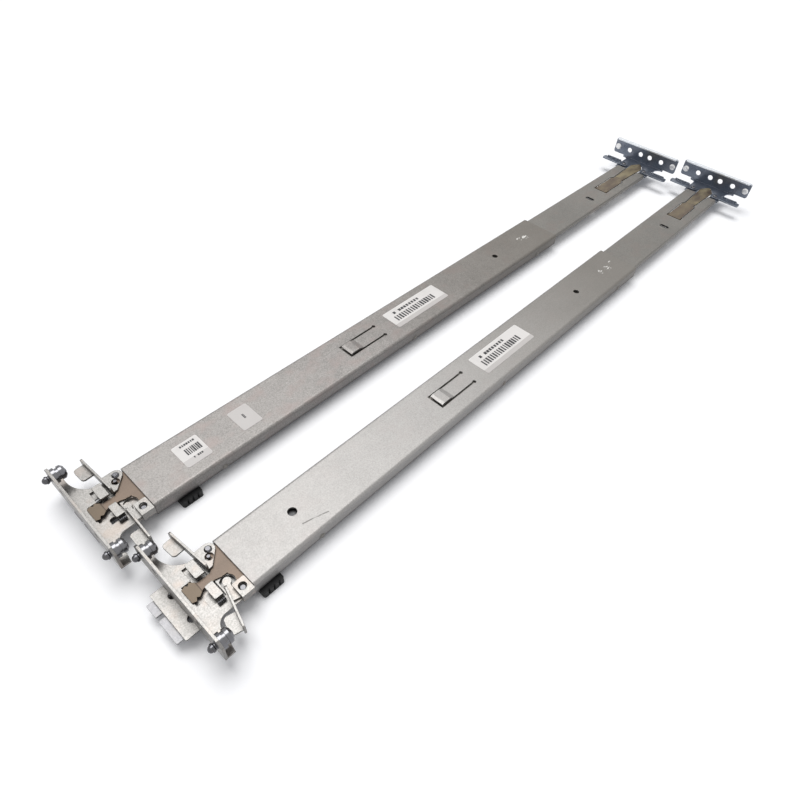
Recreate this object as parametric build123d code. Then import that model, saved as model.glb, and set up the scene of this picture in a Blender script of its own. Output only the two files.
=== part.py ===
from build123d import *
import os

# Sliding server rail pair, lying with the outer faces up, in millimetres.
# Each rail is drawn in its own frame: x across the rail, y towards the rear from a line
# just behind the front flange, z up from the outer face of the front channel.
# The two finished rails are then set side by side, and the pair's origin is the
# middle of its footprint on the surface that it lies on.

# How the pair lies
RAIL_PARTING = 1.7
RAIL_STAGGER = 11.45
RAIL_DEPTH = 17.0
SLIDE_DRAWN_OUT = {"left": 0.0, "right": 13.3}
UPPER_ARM_SET = {"left": 3.5, "right": 5.0}
LOWER_ARM_SET = {"left": -1.5, "right": -14.8}

# Rack hole pattern of the flanges: two rack units, holes 15.875 and 12.7 apart
RACK_LONG_STEP = 15.875
RACK_SHORT_STEP = 12.7
HOLE_NEAR = RACK_SHORT_STEP / 2
HOLE_MIDDLE = HOLE_NEAR + RACK_LONG_STEP
PIN_X = HOLE_MIDDLE + RACK_LONG_STEP

# Gaps between pieces that move on each other
RUN_GAP = 0.3
PIVOT_GAP = 0.05
BALL_GAP = 0.05

# Front channel
CHANNEL_WIDTH = 43.0
CHANNEL_SIDE = 10.5
CHANNEL_WALL = 1.5
CHANNEL_BEND = 1.75
CHANNEL_FRONT = 34.0
CHANNEL_LENGTH = 482.0
CHANNEL_END = CHANNEL_FRONT + CHANNEL_LENGTH
CHANNEL_INNER_X = CHANNEL_WIDTH / 2 - CHANNEL_WALL
WEB_HOLE_Y = 434.0
WEB_HOLE_RADIUS = 2.8
FRONT_HOLE_X = -1.9
FRONT_HOLE_Y = 83.0
FRONT_HOLE_RADIUS = 3.3

# Spring tongue cut in the front channel's web
TONGUE_ROOT_Y = 266.0
TONGUE_TIP_Y = 227.0
TONGUE_WIDTH = 12.6
TONGUE_SLIT = 1.6
TONGUE_RISE = 1.8
TONGUE_RAMP = 5.0
TONGUE_PAD = 9.0

# Rear channel, which telescopes inside the front channel
REAR_SIDE_GAP = 1.0
REAR_SIDE = 4.5
REAR_WALL = 1.2
REAR_BEND = 1.2
REAR_TOP = -CHANNEL_WALL - RUN_GAP
REAR_TRAVEL_IN = 145.0
REAR_STOP_MARGIN = 6.0
REAR_END_BACK = 33.0
REAR_SLOT_X = 3.0
REAR_SLOT_BACK = 138.0
REAR_SLOT_LENGTH = 9.4
REAR_SLOT_WIDTH = 3.8
GLIDE_START = 4.0
GLIDE_LENGTH = 32.0
GLIDE_HEIGHT = 3.0

# Rear bracket and its flange
REAR_FLANGE_Y = 755.0
REAR_FLANGE_MARGIN = 4.6
REAR_FLANGE_TOP = 16.5
REAR_FLANGE_LOW = -2.0
REAR_FLANGE_WALL = 1.5
REAR_FLANGE_LIP = 5.0
REAR_FLANGE_CORNER = 2.5
REAR_HOLE_RADIUS = 3.0
REAR_HOLE_Z = 6.0
REAR_BASE_WALL = 1.5
REAR_BASE_LENGTH = 67.0
REAR_NECK_WIDTH = 42.0
REAR_NECK_CURVE = 7.0

# Rear studs
STUD_RADIUS = 2.8
STUD_ROOT_RADIUS = 3.1
STUD_LENGTH = 8.0
STUD_HEAD_RADIUS = 3.6
STUD_HEAD_TOP_RADIUS = 2.5
STUD_HEAD_LENGTH = 1.4
STUD_HEAD_EDGE = 0.6
STUD_TIP_RADIUS = 1.5
STUD_TIP_LENGTH = 1.6

# Rear finger arms
REAR_PIVOT_X = 14.0
REAR_PIVOT_BACK = 25.0
REAR_ARM_REACH = 43.4
REAR_ARM_WIDTH = 8.0
REAR_ARM_WALL = 1.5
REAR_ARM_LIP = 3.0
REAR_ARM_EYE = 5.0
REAR_ARM_CORNER = 2.4

# Rear latch, a spring strip in a slot of the rear channel
LATCH_X = 1.0
LATCH_BACK = 110.0
LATCH_WALL = 1.2
LATCH_PAD_WIDTH = 14.6
LATCH_PAD_LENGTH = 38.0
LATCH_STRIP_WIDTH = 10.4
LATCH_HEAD_WIDTH = 14.8
LATCH_POINT_BACK = 10.0
LATCH_POINT_LENGTH = 10.0
LATCH_POINT_WIDTH = 3.0
LATCH_SHOULDER = 3.0
LATCH_SLOT_GAP = 1.2
LATCH_FOOT_WIDTH = 24.0
LATCH_FOOT_LENGTH = 7.0

# Front bracket and its flange
FLANGE_MARGIN = 5.9
FLANGE_TOP = 15.0
FLANGE_WALL = 1.8
FLANGE_FRONT = -3.6
FLANGE_CORNER = 4.0
BRACKET_WALL = 1.5
BRACKET_TOP = -3.1
BRACKET_LEFT_X = -20.0
BRACKET_RIGHT_X = 23.8
BRACKET_SWEEP_LEFT = (18.0, 15.8)
BRACKET_SWEEP_RIGHT = 7.0
BRACKET_WING = 3.2
BRACKET_WING_SLOPE = 2.0
BRACKET_RIGHT_STEP = 1.6
BRACKET_INSET = 1.0
BRACKET_JOGGLE_Y = 46.0
BRACKET_TAIL_END = 64.0
BRACKET_JOGGLE_LENGTH = 3.0
NOSE_WINDOW = (-9.0, 7.2, 2.9, 9.6)
WINDOW_LEFT = (-18.6, -4.4, 9.4, 18.9)
WINDOW_RIGHT = (0.9, 13.2, 8.2, 19.4)
PERCH_WALL = 1.5
PERCH_INSET = 1.2
PERCH_CORNER = 1.0
PERCH_LEFT = (-17.6, -5.4, 11.6, 17.8)
PERCH_LEFT_TOP = 1.9
PERCH_RIGHT = (1.7, 12.8, 12.4, 18.0)
PERCH_RIGHT_TOP = 0.5
HOOD = (12.4, 23.8, 24.2, 33.2)
HOOD_TOP = 0.6
HOOD_WALL = 1.2
HOOD_HOLE_RADIUS = 2.7

# Rack pins of the front flange
PIN_Z = 7.5
PIN_RADIUS = 2.8
PIN_BALL_RADIUS = 2.3
PIN_LAND_LENGTH = 1.2
PIN_NECK_RADIUS = 2.2
PIN_NECK_LENGTH = 0.5
PIN_TRAVEL = 4.0
PIN_TAIL_RADIUS = 1.2
PIN_TAIL_PROUD = 0.4
PIN_SHOULDER_LENGTH = 1.2
PIN_SPRING_PRESSED = 2.0
BARREL_RADIUS = 5.0
BARREL_BORE = 3.6
BARREL_END_WALL = 0.8
BARREL_FOOT_RADIUS = 5.4
BARREL_FOOT_LENGTH = 2.6
BARREL_GROOVE_RADIUS = 4.2
BARREL_GROOVE_LENGTH = 1.9
BARREL_CAP_RADIUS = 3.2
BARREL_CAP_LENGTH = 1.6

# Front finger arms
ARM_PIVOT_X = 17.7
ARM_PIVOT_Y = 28.5
ARM_REACH = 43.4
ARM_STRIP_Y = 19.0
ARM_STRIP_WALL = 1.4
ARM_STRIP_TOP = 4.6
ARM_WALL = 1.4
ARM_EYE = 4.5
ARM_TAB_WIDTH = 12.4
ARM_TAB_OUT = 41.4
ARM_TAB_DEPTH = 7.6
ARM_TAB_CORNER = 2.5
ARM_STRIP_CORNER = 2.0
UPPER_LUG_SPAN = (-22.4, -6.8)
UPPER_LUG_DEPTH = 4.0
LOWER_LUG_TIP = (8.6, 21.8)
LOWER_LUG_TIP_RADIUS = 2.8
ARM_SPRING_X = 15.2
ARM_SPRING_FRONT = 13.0
ARM_SPRING_TURNS = 4
ARM_SPRING_PITCH = 1.3
ARM_SPRING_RADIUS = 1.5
ARM_SPRING_BORE = 0.8
ARM_SPRING_WIRE = 1.4
RIVET_RADIUS = 1.6
RIVET_HEAD_RADIUS = 2.5
RIVET_HEAD_HEIGHT = 0.9
STOP_PIN_OFFSET = (4.5, -2.7)
STOP_PIN_RADIUS = 1.1
STOP_HOLE_RADIUS = 2.8

# Front latch, the sliding plate with the finger nose
TRIGGER_TOP = -CHANNEL_WALL - RUN_GAP
TRIGGER_WALL = 1.0
TRIGGER_TRAVEL = 3.0
TRIGGER_PLATE = (-18.0, 11.0, 24.4, 41.5)
TRIGGER_SHOULDER = (2.6, 28.0)
TRIGGER_SCALLOP = (7.6, 24.3, 5.3)
SCALLOP_EDGE = 0.2
SCALLOP_FLAT = 3.7
SCALLOP_SLOT = (11.2, 12.3, 24.3, 33.0)
TRIGGER_NECK = (-4.4, 1.2)
TRIGGER_NECK_FLARE = 4.0
TRIGGER_NOSE = (-8.0, 5.2)
TRIGGER_WAIST = (-6.6, 3.0)
TRIGGER_WING = (-8.4, 4.0)
TRIGGER_NOSE_Y = (2.0, 4.8, 6.1, 7.7, 11.6)
TRIGGER_NOSE_CORNER = 1.0

# Ball slide under the channels
RACE_SIDE_GAP = 0.5
RACE_WALL = 1.4
RACE_BEND = 2.0
RACE_TOP = REAR_TOP - REAR_WALL - RUN_GAP
RACE_FRONT = 68.0
RACE_END = 498.0
RACE_LIP = 2.6
SLIDE_TRAVEL = 290.0
SPACER_POSITIONS = (88.0, 290.0, 482.0)
SPACER_LENGTH = 14.0
SPACER_TOP = -6.8
SPACER_HEIGHT = 3.3
SPACER_RIVET_RADIUS = 1.2
SPACER_HEAD_RADIUS = 2.4
SPACER_HEAD_TOP_RADIUS = 1.5
SPACER_HEAD_HEIGHT = 0.8

# Bearing balls and their cage
BALL_RADIUS = 2.0
BALL_COUNT = 5
CAGE_WALL = 0.5
CAGE_BEND = 1.0
CAGE_GAP = 0.25
CAGE_MARGIN = 3.0
CAGE_TOP = RACE_TOP - RACE_WALL - CAGE_GAP
CAGE_FRONT = RACE_FRONT + SLIDE_TRAVEL / 2 + CAGE_MARGIN
CAGE_LENGTH = 90.0
CAGE_LOW = -12.8
CAGE_CUT = 2.0

# Sliding member, its nose and the release block
SLIDE_WALL = 1.2
SLIDE_BEND = 0.75
SLIDE_WEB_GAP = 0.45
SLIDE_TOP = CAGE_TOP - CAGE_WALL - SLIDE_WEB_GAP
SLIDE_BOTTOM = -16.3
SLIDE_GROOVE = 1.2
SLIDE_GROOVE_HALF = 2.6
SLIDE_LIP = 3.2
SLIDE_FRONT = 1.6
SLIDE_LENGTH = 453.0
NOSE_WIDTH = 38.0
NOSE_WALL = 1.0
NOSE_LENGTH = 30.0
NOSE_HOLE_X = 10.0
NOSE_HOLE_BACK = 10.0
NOSE_HOLE_RADIUS = 2.8
NOSE_CORNER = 1.0
GUIDE_HALF_WIDTH = 16.0
GUIDE_REACH = 4.6
GUIDE_WALL = 1.5
GUIDE_SPLIT = (-5.8, -2.8)
GUIDE_STEM_WIDTH = 14.0
GUIDE_STEM_LENGTH = 22.0
GUIDE_CORNER = 0.8
SLIDE_RIVET_X = 5.0
SLIDE_RIVET_Y = 17.6
SLIDE_RIVET_RADIUS = 1.2
BLOCK_Y = 50.0
BLOCK_LENGTH = 16.0
BLOCK_PROUD = 4.1
BLOCK_HEIGHT = 6.0
BLOCK_CORNER = 1.6
BLOCK_GRIP_COUNT = 3
BLOCK_GRIP_WIDTH = 1.2
BLOCK_GRIP_DEPTH = 1.0
BLOCK_GRIP_LOW = 1.5

# Stickers
LABEL_THICKNESS = 0.12
LABEL_LONG = (-12.5, 9.5, 282.0, 349.0)
LABEL_FRONT = (-11.0, 11.3, 66.5, 86.9)
LABEL_FAINT = (-11.0, 11.0, 114.0, 131.0)
LABEL_CORNER = 1.5

# Sizes that follow from the ones above
FLANGE_WIDTH = 2 * (PIN_X + FLANGE_MARGIN)
REAR_FLANGE_WIDTH = 2 * (PIN_X + REAR_FLANGE_MARGIN)
RAIL_SPACING = FLANGE_WIDTH + RAIL_PARTING
REAR_WIDTH = 2 * (CHANNEL_INNER_X - REAR_SIDE_GAP)
REAR_BASE_HALF = (REAR_WIDTH - REAR_WALL) / 2 - REAR_BEND
REAR_BASE_TOP = REAR_TOP - REAR_WALL
REAR_BASE_LOW = REAR_BASE_TOP - REAR_BASE_WALL
REAR_PIVOT_Y = REAR_FLANGE_Y - REAR_PIVOT_BACK
REAR_END = REAR_FLANGE_Y - REAR_END_BACK
REAR_SLOT_Y = REAR_FLANGE_Y - REAR_SLOT_BACK
REAR_BASE_FRONT = REAR_FLANGE_Y - REAR_BASE_LENGTH
LATCH_FRONT = REAR_FLANGE_Y - LATCH_BACK
LATCH_POINT_Y = REAR_FLANGE_Y - LATCH_POINT_BACK
REAR_FRONT = BRACKET_TAIL_END + REAR_TRAVEL_IN + REAR_STOP_MARGIN
RACE_WIDTH = REAR_WIDTH - 2 * (REAR_WALL + RACE_SIDE_GAP)
BALL_Z = (RACE_TOP - RAIL_DEPTH) / 2
BALL_X = RACE_WIDTH / 2 - RACE_WALL - BALL_GAP - BALL_RADIUS
NOSE_HOLE_Y = SLIDE_FRONT - NOSE_WALL + NOSE_HOLE_BACK
BLOCK_OUTER_X = CHANNEL_WIDTH / 2 + BLOCK_PROUD
BRACKET_LOW = BRACKET_TOP - BRACKET_WALL
BRACKET_TAIL_HALF = (CHANNEL_WIDTH - CHANNEL_WALL) / 2 - CHANNEL_BEND - RUN_GAP
TRIGGER_LOW = TRIGGER_TOP - TRIGGER_WALL
UPPER_LUG_LOW = TRIGGER_TOP + RUN_GAP
LOWER_LUG_LOW = BRACKET_TOP + RUN_GAP
FLANGE_BACK = FLANGE_FRONT + FLANGE_WALL
PIN_SPRING_FRONT = FLANGE_BACK + RUN_GAP + PIN_SHOULDER_LENGTH
PIN_SPRING_BACK = PIN_SPRING_FRONT + PIN_TRAVEL + PIN_SPRING_PRESSED
BARREL_BACK = PIN_SPRING_BACK + BARREL_END_WALL
PIN_NECK_CHAMFER = PIN_RADIUS - PIN_NECK_RADIUS
STUD_TIP_Y = REAR_FLANGE_Y + REAR_FLANGE_WALL + STUD_LENGTH
SLIDE_TIP_Y = SLIDE_FRONT - GUIDE_REACH - NOSE_WALL - SLIDE_DRAWN_OUT["right"]
PIN_REACH = 2 * PIN_NECK_CHAMFER + PIN_NECK_LENGTH + PIN_LAND_LENGTH + PIN_BALL_RADIUS
FRONT_TIP_Y = min(SLIDE_TIP_Y, FLANGE_FRONT - PIN_REACH - RAIL_STAGGER)


def block(x0, x1, y0, y1, z0, z1):
    """A box between two corners."""
    return Pos((x0 + x1) / 2, (y0 + y1) / 2, (z0 + z1) / 2) * Box(x1 - x0, y1 - y0, z1 - z0)


def plate(outline, low, thickness):
    """A flat plate cut to an outline."""
    return extrude(Plane.XY.offset(low) * outline, amount=thickness)


def patch(x0, x1, y0, y1):
    """A rectangle between two corners."""
    return Pos((x0 + x1) / 2, (y0 + y1) / 2) * Rectangle(x1 - x0, y1 - y0)


def disc(x, y, radius):
    """A round outline."""
    return Pos(x, y) * Circle(radius)


def post(x, y, low, high, radius):
    """An upright cylinder."""
    return Pos(x, y, (low + high) / 2) * Cylinder(radius, high - low)


def spindle(x, z, points):
    """A turned piece with its axis along y, from (radius, y) points."""
    outline = make_face(Polyline(*points, close=True))
    return Pos(x, 0, z) * revolve(Plane.XY * outline, axis=Axis.Y)


def rolled(centre_line, bend, wall, start, end):
    """A rolled section that runs along y, from one half of its centre line."""
    mirrored = [(-x, z) for x, z in reversed(centre_line)]
    section = trace(FilletPolyline(*mirrored, *centre_line, radius=bend), line_width=wall)
    return Pos(0, end, 0) * extrude(Plane.XZ * section, amount=end - start)


def joined(solids):
    """One node of separate solids."""
    return Compound(children=[solid for part in solids for solid in part.solids()])


def channel_web_cuts():
    """The slit round the tongue and the round holes of the front channel's web."""
    half = TONGUE_WIDTH / 2
    outer = half + TONGUE_SLIT
    slit = patch(-outer, outer, TONGUE_TIP_Y - TONGUE_SLIT, TONGUE_ROOT_Y)
    slit -= patch(-half, half, TONGUE_TIP_Y, TONGUE_ROOT_Y)
    for side in (-1, 1):
        slit += disc(side * (half + TONGUE_SLIT / 2), TONGUE_ROOT_Y, TONGUE_SLIT)
    return slit + disc(0, WEB_HOLE_Y, WEB_HOLE_RADIUS) + disc(FRONT_HOLE_X, FRONT_HOLE_Y, FRONT_HOLE_RADIUS)


def tongue_tip():
    """The raised end of the spring tongue, seen from the side and drawn as a strip."""
    level = -CHANNEL_WALL / 2
    pad_end = TONGUE_TIP_Y + TONGUE_PAD
    line = Polyline(
        (TONGUE_TIP_Y, level + TONGUE_RISE - CHANNEL_WALL / 2),
        (TONGUE_TIP_Y + TONGUE_RAMP / 2, level + TONGUE_RISE),
        (pad_end, level + TONGUE_RISE),
        (pad_end + TONGUE_RAMP, level),
    )
    section = trace(line, line_width=CHANNEL_WALL)
    return Pos(-TONGUE_WIDTH / 2, 0, 0) * extrude(Plane.YZ * section, amount=TONGUE_WIDTH)


def front_channel():
    """The wide outer channel, with its tongue, holes and rivet holes."""
    half = CHANNEL_WIDTH / 2 - CHANNEL_WALL / 2
    centre_line = [(half, -CHANNEL_WALL / 2), (half, -CHANNEL_SIDE)]
    body = rolled(centre_line, CHANNEL_BEND, CHANNEL_WALL, CHANNEL_FRONT, CHANNEL_END)
    body -= plate(channel_web_cuts(), -CHANNEL_WALL, CHANNEL_WALL)
    flat_from = TONGUE_TIP_Y + TONGUE_PAD + TONGUE_RAMP
    body -= block(-TONGUE_WIDTH / 2, TONGUE_WIDTH / 2, TONGUE_TIP_Y, flat_from, -CHANNEL_WALL, 0)
    body += tongue_tip()
    for y in SPACER_POSITIONS:
        z = SPACER_TOP - SPACER_HEIGHT / 2
        body -= Pos(0, y, z) * Rot(0, 90, 0) * Cylinder(SPACER_RIVET_RADIUS, CHANNEL_WIDTH)
    return body


def race():
    """The fixed outer member of the ball slide, open towards the server."""
    half = RACE_WIDTH / 2 - RACE_WALL / 2
    low = -RAIL_DEPTH + RACE_WALL / 2
    centre_line = [(half, RACE_TOP - RACE_WALL / 2), (half, low), (half - RACE_LIP - RACE_WALL / 2, low)]
    return rolled(centre_line, RACE_BEND, RACE_WALL, RACE_FRONT, RACE_END)


def race_spacers():
    """Blocks that hold the race to the channel's side walls, each with its rivet."""
    inner, outer, head = RACE_WIDTH / 2, CHANNEL_INNER_X, CHANNEL_WIDTH / 2
    low = SPACER_TOP - SPACER_HEIGHT
    along_x = Rot(0, 90, 0)
    shank = along_x * Cylinder(SPACER_RIVET_RADIUS, head - inner)
    cap = along_x * Cone(SPACER_HEAD_RADIUS, SPACER_HEAD_TOP_RADIUS, SPACER_HEAD_HEIGHT)
    solids = []
    for y in SPACER_POSITIONS:
        z = SPACER_TOP - SPACER_HEIGHT / 2
        body = block(inner, outer, y - SPACER_LENGTH / 2, y + SPACER_LENGTH / 2, low, SPACER_TOP)
        body += Pos((inner + head) / 2, y, z) * shank
        body += Pos(head + SPACER_HEAD_HEIGHT / 2, y, z) * cap
        solids += [body, mirror(body, about=Plane.YZ)]
    return joined(solids)


def slide_half_width():
    """Half of the sliding member's centre-line width, at which its groove meets the balls."""
    run = SLIDE_GROOVE_HALF
    length = (run ** 2 + SLIDE_GROOVE ** 2) ** 0.5
    reach = BALL_RADIUS + BALL_GAP + SLIDE_WALL / 2
    return BALL_X - reach * length / run + SLIDE_GROOVE


def slide_member():
    """The moving member, with a groove down each side for the balls."""
    half = slide_half_width()
    top = SLIDE_TOP - SLIDE_WALL / 2
    low = SLIDE_BOTTOM + SLIDE_WALL / 2
    centre_line = [
        (half, top),
        (half, BALL_Z + SLIDE_GROOVE_HALF),
        (half - SLIDE_GROOVE, BALL_Z),
        (half, BALL_Z - SLIDE_GROOVE_HALF),
        (half, low),
        (half - SLIDE_LIP, low),
    ]
    body = rolled(centre_line, SLIDE_BEND, SLIDE_WALL, SLIDE_FRONT, SLIDE_FRONT + SLIDE_LENGTH)
    for side in (-1, 1):
        body -= post(side * NOSE_HOLE_X, NOSE_HOLE_Y, SLIDE_TOP - SLIDE_WALL, SLIDE_TOP, NOSE_HOLE_RADIUS)
    return body - joined(slide_rivet_places(SLIDE_TOP - SLIDE_WALL, SLIDE_TOP))


def slide_rivet_places(low, high):
    """The shanks of the rivets that hold the nose and the guide to the member."""
    return [post(side * SLIDE_RIVET_X, SLIDE_RIVET_Y, low, high, SLIDE_RIVET_RADIUS) for side in (-1, 1)]


def slide_nose():
    """The wide plate on the front end of the sliding member."""
    front = SLIDE_FRONT - NOSE_WALL
    half = NOSE_WIDTH / 2
    outline = patch(-half, half, front, front + NOSE_LENGTH)
    outline = fillet(outline.vertices().group_by(Axis.Y)[0], NOSE_CORNER)
    for side in (-1, 1):
        outline -= disc(side * NOSE_HOLE_X, NOSE_HOLE_Y, NOSE_HOLE_RADIUS)
    body = plate(outline, SLIDE_TOP, NOSE_WALL)
    return body - joined(slide_rivet_places(SLIDE_TOP, SLIDE_TOP + NOSE_WALL))


def slide_guide():
    """The lead-in plate in the mouth of the member, with two tongues in front."""
    front = SLIDE_FRONT - GUIDE_REACH - NOSE_WALL
    top = SLIDE_TOP - SLIDE_WALL
    head = patch(-GUIDE_HALF_WIDTH, GUIDE_HALF_WIDTH, front, SLIDE_FRONT - RUN_GAP)
    head -= patch(*GUIDE_SPLIT, front, front + GUIDE_REACH)
    head = fillet(head.vertices().group_by(Axis.Y)[0], GUIDE_CORNER)
    stem_half = GUIDE_STEM_WIDTH / 2
    stem = patch(-stem_half, stem_half, front + GUIDE_REACH, SLIDE_FRONT + GUIDE_STEM_LENGTH)
    body = plate(head + stem, top - GUIDE_WALL, GUIDE_WALL)
    return body - joined(slide_rivet_places(top - GUIDE_WALL, top))


def slide_rivets():
    """The two rivets through nose, member and guide, with a low head on top."""
    low = SLIDE_TOP - SLIDE_WALL - GUIDE_WALL
    return joined(slide_rivet_places(low, SLIDE_TOP + NOSE_WALL))


def release_block():
    """The black moulded block on the member's side, under the channel's side wall."""
    inner = slide_half_width() + SLIDE_WALL / 2
    low = -RAIL_DEPTH
    top = low + BLOCK_HEIGHT
    body = block(inner, BLOCK_OUTER_X, BLOCK_Y, BLOCK_Y + BLOCK_LENGTH, low, top)
    outer = body.faces().sort_by(Axis.X)[-1]
    body = fillet(outer.edges().filter_by(Axis.Z), BLOCK_CORNER)
    half = BLOCK_GRIP_WIDTH / 2
    groove = block(BLOCK_OUTER_X - BLOCK_GRIP_DEPTH, BLOCK_OUTER_X, -half, half, low + BLOCK_GRIP_LOW, top)
    pitch = BLOCK_LENGTH / (BLOCK_GRIP_COUNT + 1)
    for index in range(BLOCK_GRIP_COUNT):
        body -= Pos(0, BLOCK_Y + pitch * (index + 1), 0) * groove
    return body


def ball_rows():
    """Centres of the balls, in two rows along the slide."""
    pitch = CAGE_LENGTH / BALL_COUNT
    start = CAGE_FRONT + pitch / 2
    return [(side * BALL_X, start + pitch * index) for side in (-1, 1) for index in range(BALL_COUNT)]


def ball_cage():
    """The strip that spaces the balls, bridged across the member's web."""
    top = CAGE_TOP - CAGE_WALL / 2
    centre_line = [(BALL_X, top), (BALL_X, CAGE_LOW)]
    body = rolled(centre_line, CAGE_BEND, CAGE_WALL, CAGE_FRONT, CAGE_FRONT + CAGE_LENGTH)
    for x, y in ball_rows():
        body -= Pos(x, y, BALL_Z) * Rot(0, 90, 0) * Cylinder(BALL_RADIUS + BALL_GAP, CAGE_CUT)
    return body


def bearing_balls():
    """The steel balls."""
    return joined([Pos(x, y, BALL_Z) * Sphere(BALL_RADIUS) for x, y in ball_rows()])


def rear_channel():
    """The narrower channel that sets the rail to the rack's depth."""
    half = REAR_WIDTH / 2 - REAR_WALL / 2
    top = REAR_TOP - REAR_WALL / 2
    centre_line = [(half, top), (half, REAR_TOP - REAR_SIDE)]
    body = rolled(centre_line, REAR_BEND, REAR_WALL, REAR_FRONT, REAR_END)
    slot = Pos(REAR_SLOT_X, REAR_SLOT_Y) * SlotOverall(REAR_SLOT_LENGTH, REAR_SLOT_WIDTH)
    body -= plate(slot + latch_outline(LATCH_SLOT_GAP), REAR_TOP - REAR_WALL, REAR_WALL)
    return body


def glide_pads():
    """Nylon pads on the rear channel's sides that run in the front channel."""
    inner = REAR_WIDTH / 2
    outer = CHANNEL_INNER_X - RUN_GAP
    top = REAR_TOP - REAR_BEND - RUN_GAP
    start = REAR_FRONT + GLIDE_START
    pad = block(inner, outer, start, start + GLIDE_LENGTH, top - GLIDE_HEIGHT, top)
    return joined([pad, mirror(pad, about=Plane.YZ)])


def latch_outline(grow):
    """The rear latch seen from above, grown by a gap where it cuts its slot."""
    pad_end = LATCH_FRONT + LATCH_PAD_LENGTH
    taper = LATCH_POINT_Y - LATCH_POINT_LENGTH
    pad = LATCH_PAD_WIDTH / 2 + grow
    strip = LATCH_STRIP_WIDTH / 2 + grow
    head = LATCH_HEAD_WIDTH / 2 + grow
    point = LATCH_POINT_WIDTH / 2 + grow
    half = [
        (pad, LATCH_FRONT - grow),
        (pad, pad_end + grow),
        (strip, pad_end + grow + LATCH_SHOULDER),
        (head, taper),
        (point, LATCH_POINT_Y + grow),
    ]
    other = [(-x, y) for x, y in reversed(half)]
    return Pos(LATCH_X, 0) * make_face(Polyline(*half, *other, close=True))


def rear_latch():
    """The spring strip, with a foot under the rear channel's web."""
    body = plate(latch_outline(0), REAR_TOP - LATCH_WALL, LATCH_WALL)
    foot_top = REAR_TOP - REAR_WALL - RUN_GAP
    foot_low = foot_top - LATCH_WALL
    back = LATCH_FRONT + LATCH_FOOT_LENGTH
    half = LATCH_FOOT_WIDTH / 2
    foot = block(LATCH_X - half, LATCH_X + half, LATCH_FRONT, back, foot_low, foot_top)
    half = LATCH_PAD_WIDTH / 2
    return body + foot + block(LATCH_X - half, LATCH_X + half, LATCH_FRONT, back, foot_low, REAR_TOP)


def rear_bracket():
    """The base under the rear channel's end, with the drilled rack flange."""
    half = REAR_BASE_HALF
    neck = REAR_NECK_WIDTH / 2
    back = REAR_FLANGE_Y
    outline = patch(-half, half, REAR_BASE_FRONT, back)
    outline += patch(-neck, neck, REAR_END + RUN_GAP, back)
    outline += patch(-neck - REAR_NECK_CURVE, neck + REAR_NECK_CURVE, back - REAR_NECK_CURVE, back)
    for side in (-1, 1):
        outline -= disc(side * (neck + REAR_NECK_CURVE), back - REAR_NECK_CURVE, REAR_NECK_CURVE)
    body = plate(outline - latch_outline(LATCH_SLOT_GAP), REAR_BASE_LOW, REAR_BASE_WALL)
    body += rear_flange()
    for side in (-1, 1):
        body -= post(side * REAR_PIVOT_X, REAR_PIVOT_Y, REAR_BASE_LOW, REAR_BASE_TOP, RIVET_RADIUS)
    return body


def rear_flange():
    """The upright plate with six rack positions and a stiffening lip along its top."""
    back = REAR_FLANGE_Y + REAR_FLANGE_WALL
    half = REAR_FLANGE_WIDTH / 2
    height = REAR_FLANGE_TOP - REAR_FLANGE_LOW
    face = RectangleRounded(REAR_FLANGE_WIDTH, height, REAR_FLANGE_CORNER)
    face = Pos(0, REAR_FLANGE_LOW + height / 2) * face
    root = REAR_NECK_WIDTH / 2 + REAR_NECK_CURVE
    face += patch(-root, root, REAR_BASE_LOW, REAR_FLANGE_LOW + REAR_FLANGE_CORNER)
    for x in (HOLE_NEAR, HOLE_MIDDLE):
        face -= disc(x, REAR_HOLE_Z, REAR_HOLE_RADIUS) + disc(-x, REAR_HOLE_Z, REAR_HOLE_RADIUS)
    face -= disc(PIN_X, REAR_HOLE_Z, STUD_ROOT_RADIUS) + disc(-PIN_X, REAR_HOLE_Z, STUD_ROOT_RADIUS)
    body = Pos(0, back, 0) * extrude(Plane.XZ * face, amount=REAR_FLANGE_WALL)
    lip_half = half - REAR_FLANGE_CORNER
    top = REAR_FLANGE_TOP
    return body + block(-lip_half, lip_half, back - REAR_FLANGE_LIP, back, top - REAR_FLANGE_WALL, top)


def rear_studs():
    """The two fixed rack studs, each with a riveted head in front of the flange."""
    front = REAR_FLANGE_Y
    tip = STUD_TIP_Y
    outline = [
        (0, front - STUD_HEAD_LENGTH),
        (STUD_HEAD_TOP_RADIUS, front - STUD_HEAD_LENGTH),
        (STUD_HEAD_RADIUS, front - STUD_HEAD_EDGE),
        (STUD_HEAD_RADIUS, front),
        (STUD_ROOT_RADIUS, front),
        (STUD_ROOT_RADIUS, front + REAR_FLANGE_WALL),
        (STUD_RADIUS, front + REAR_FLANGE_WALL),
        (STUD_RADIUS, tip - STUD_TIP_LENGTH),
        (STUD_TIP_RADIUS, tip),
        (0, tip),
    ]
    return joined([spindle(side * PIN_X, REAR_HOLE_Z, outline) for side in (-1, 1)])


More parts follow.
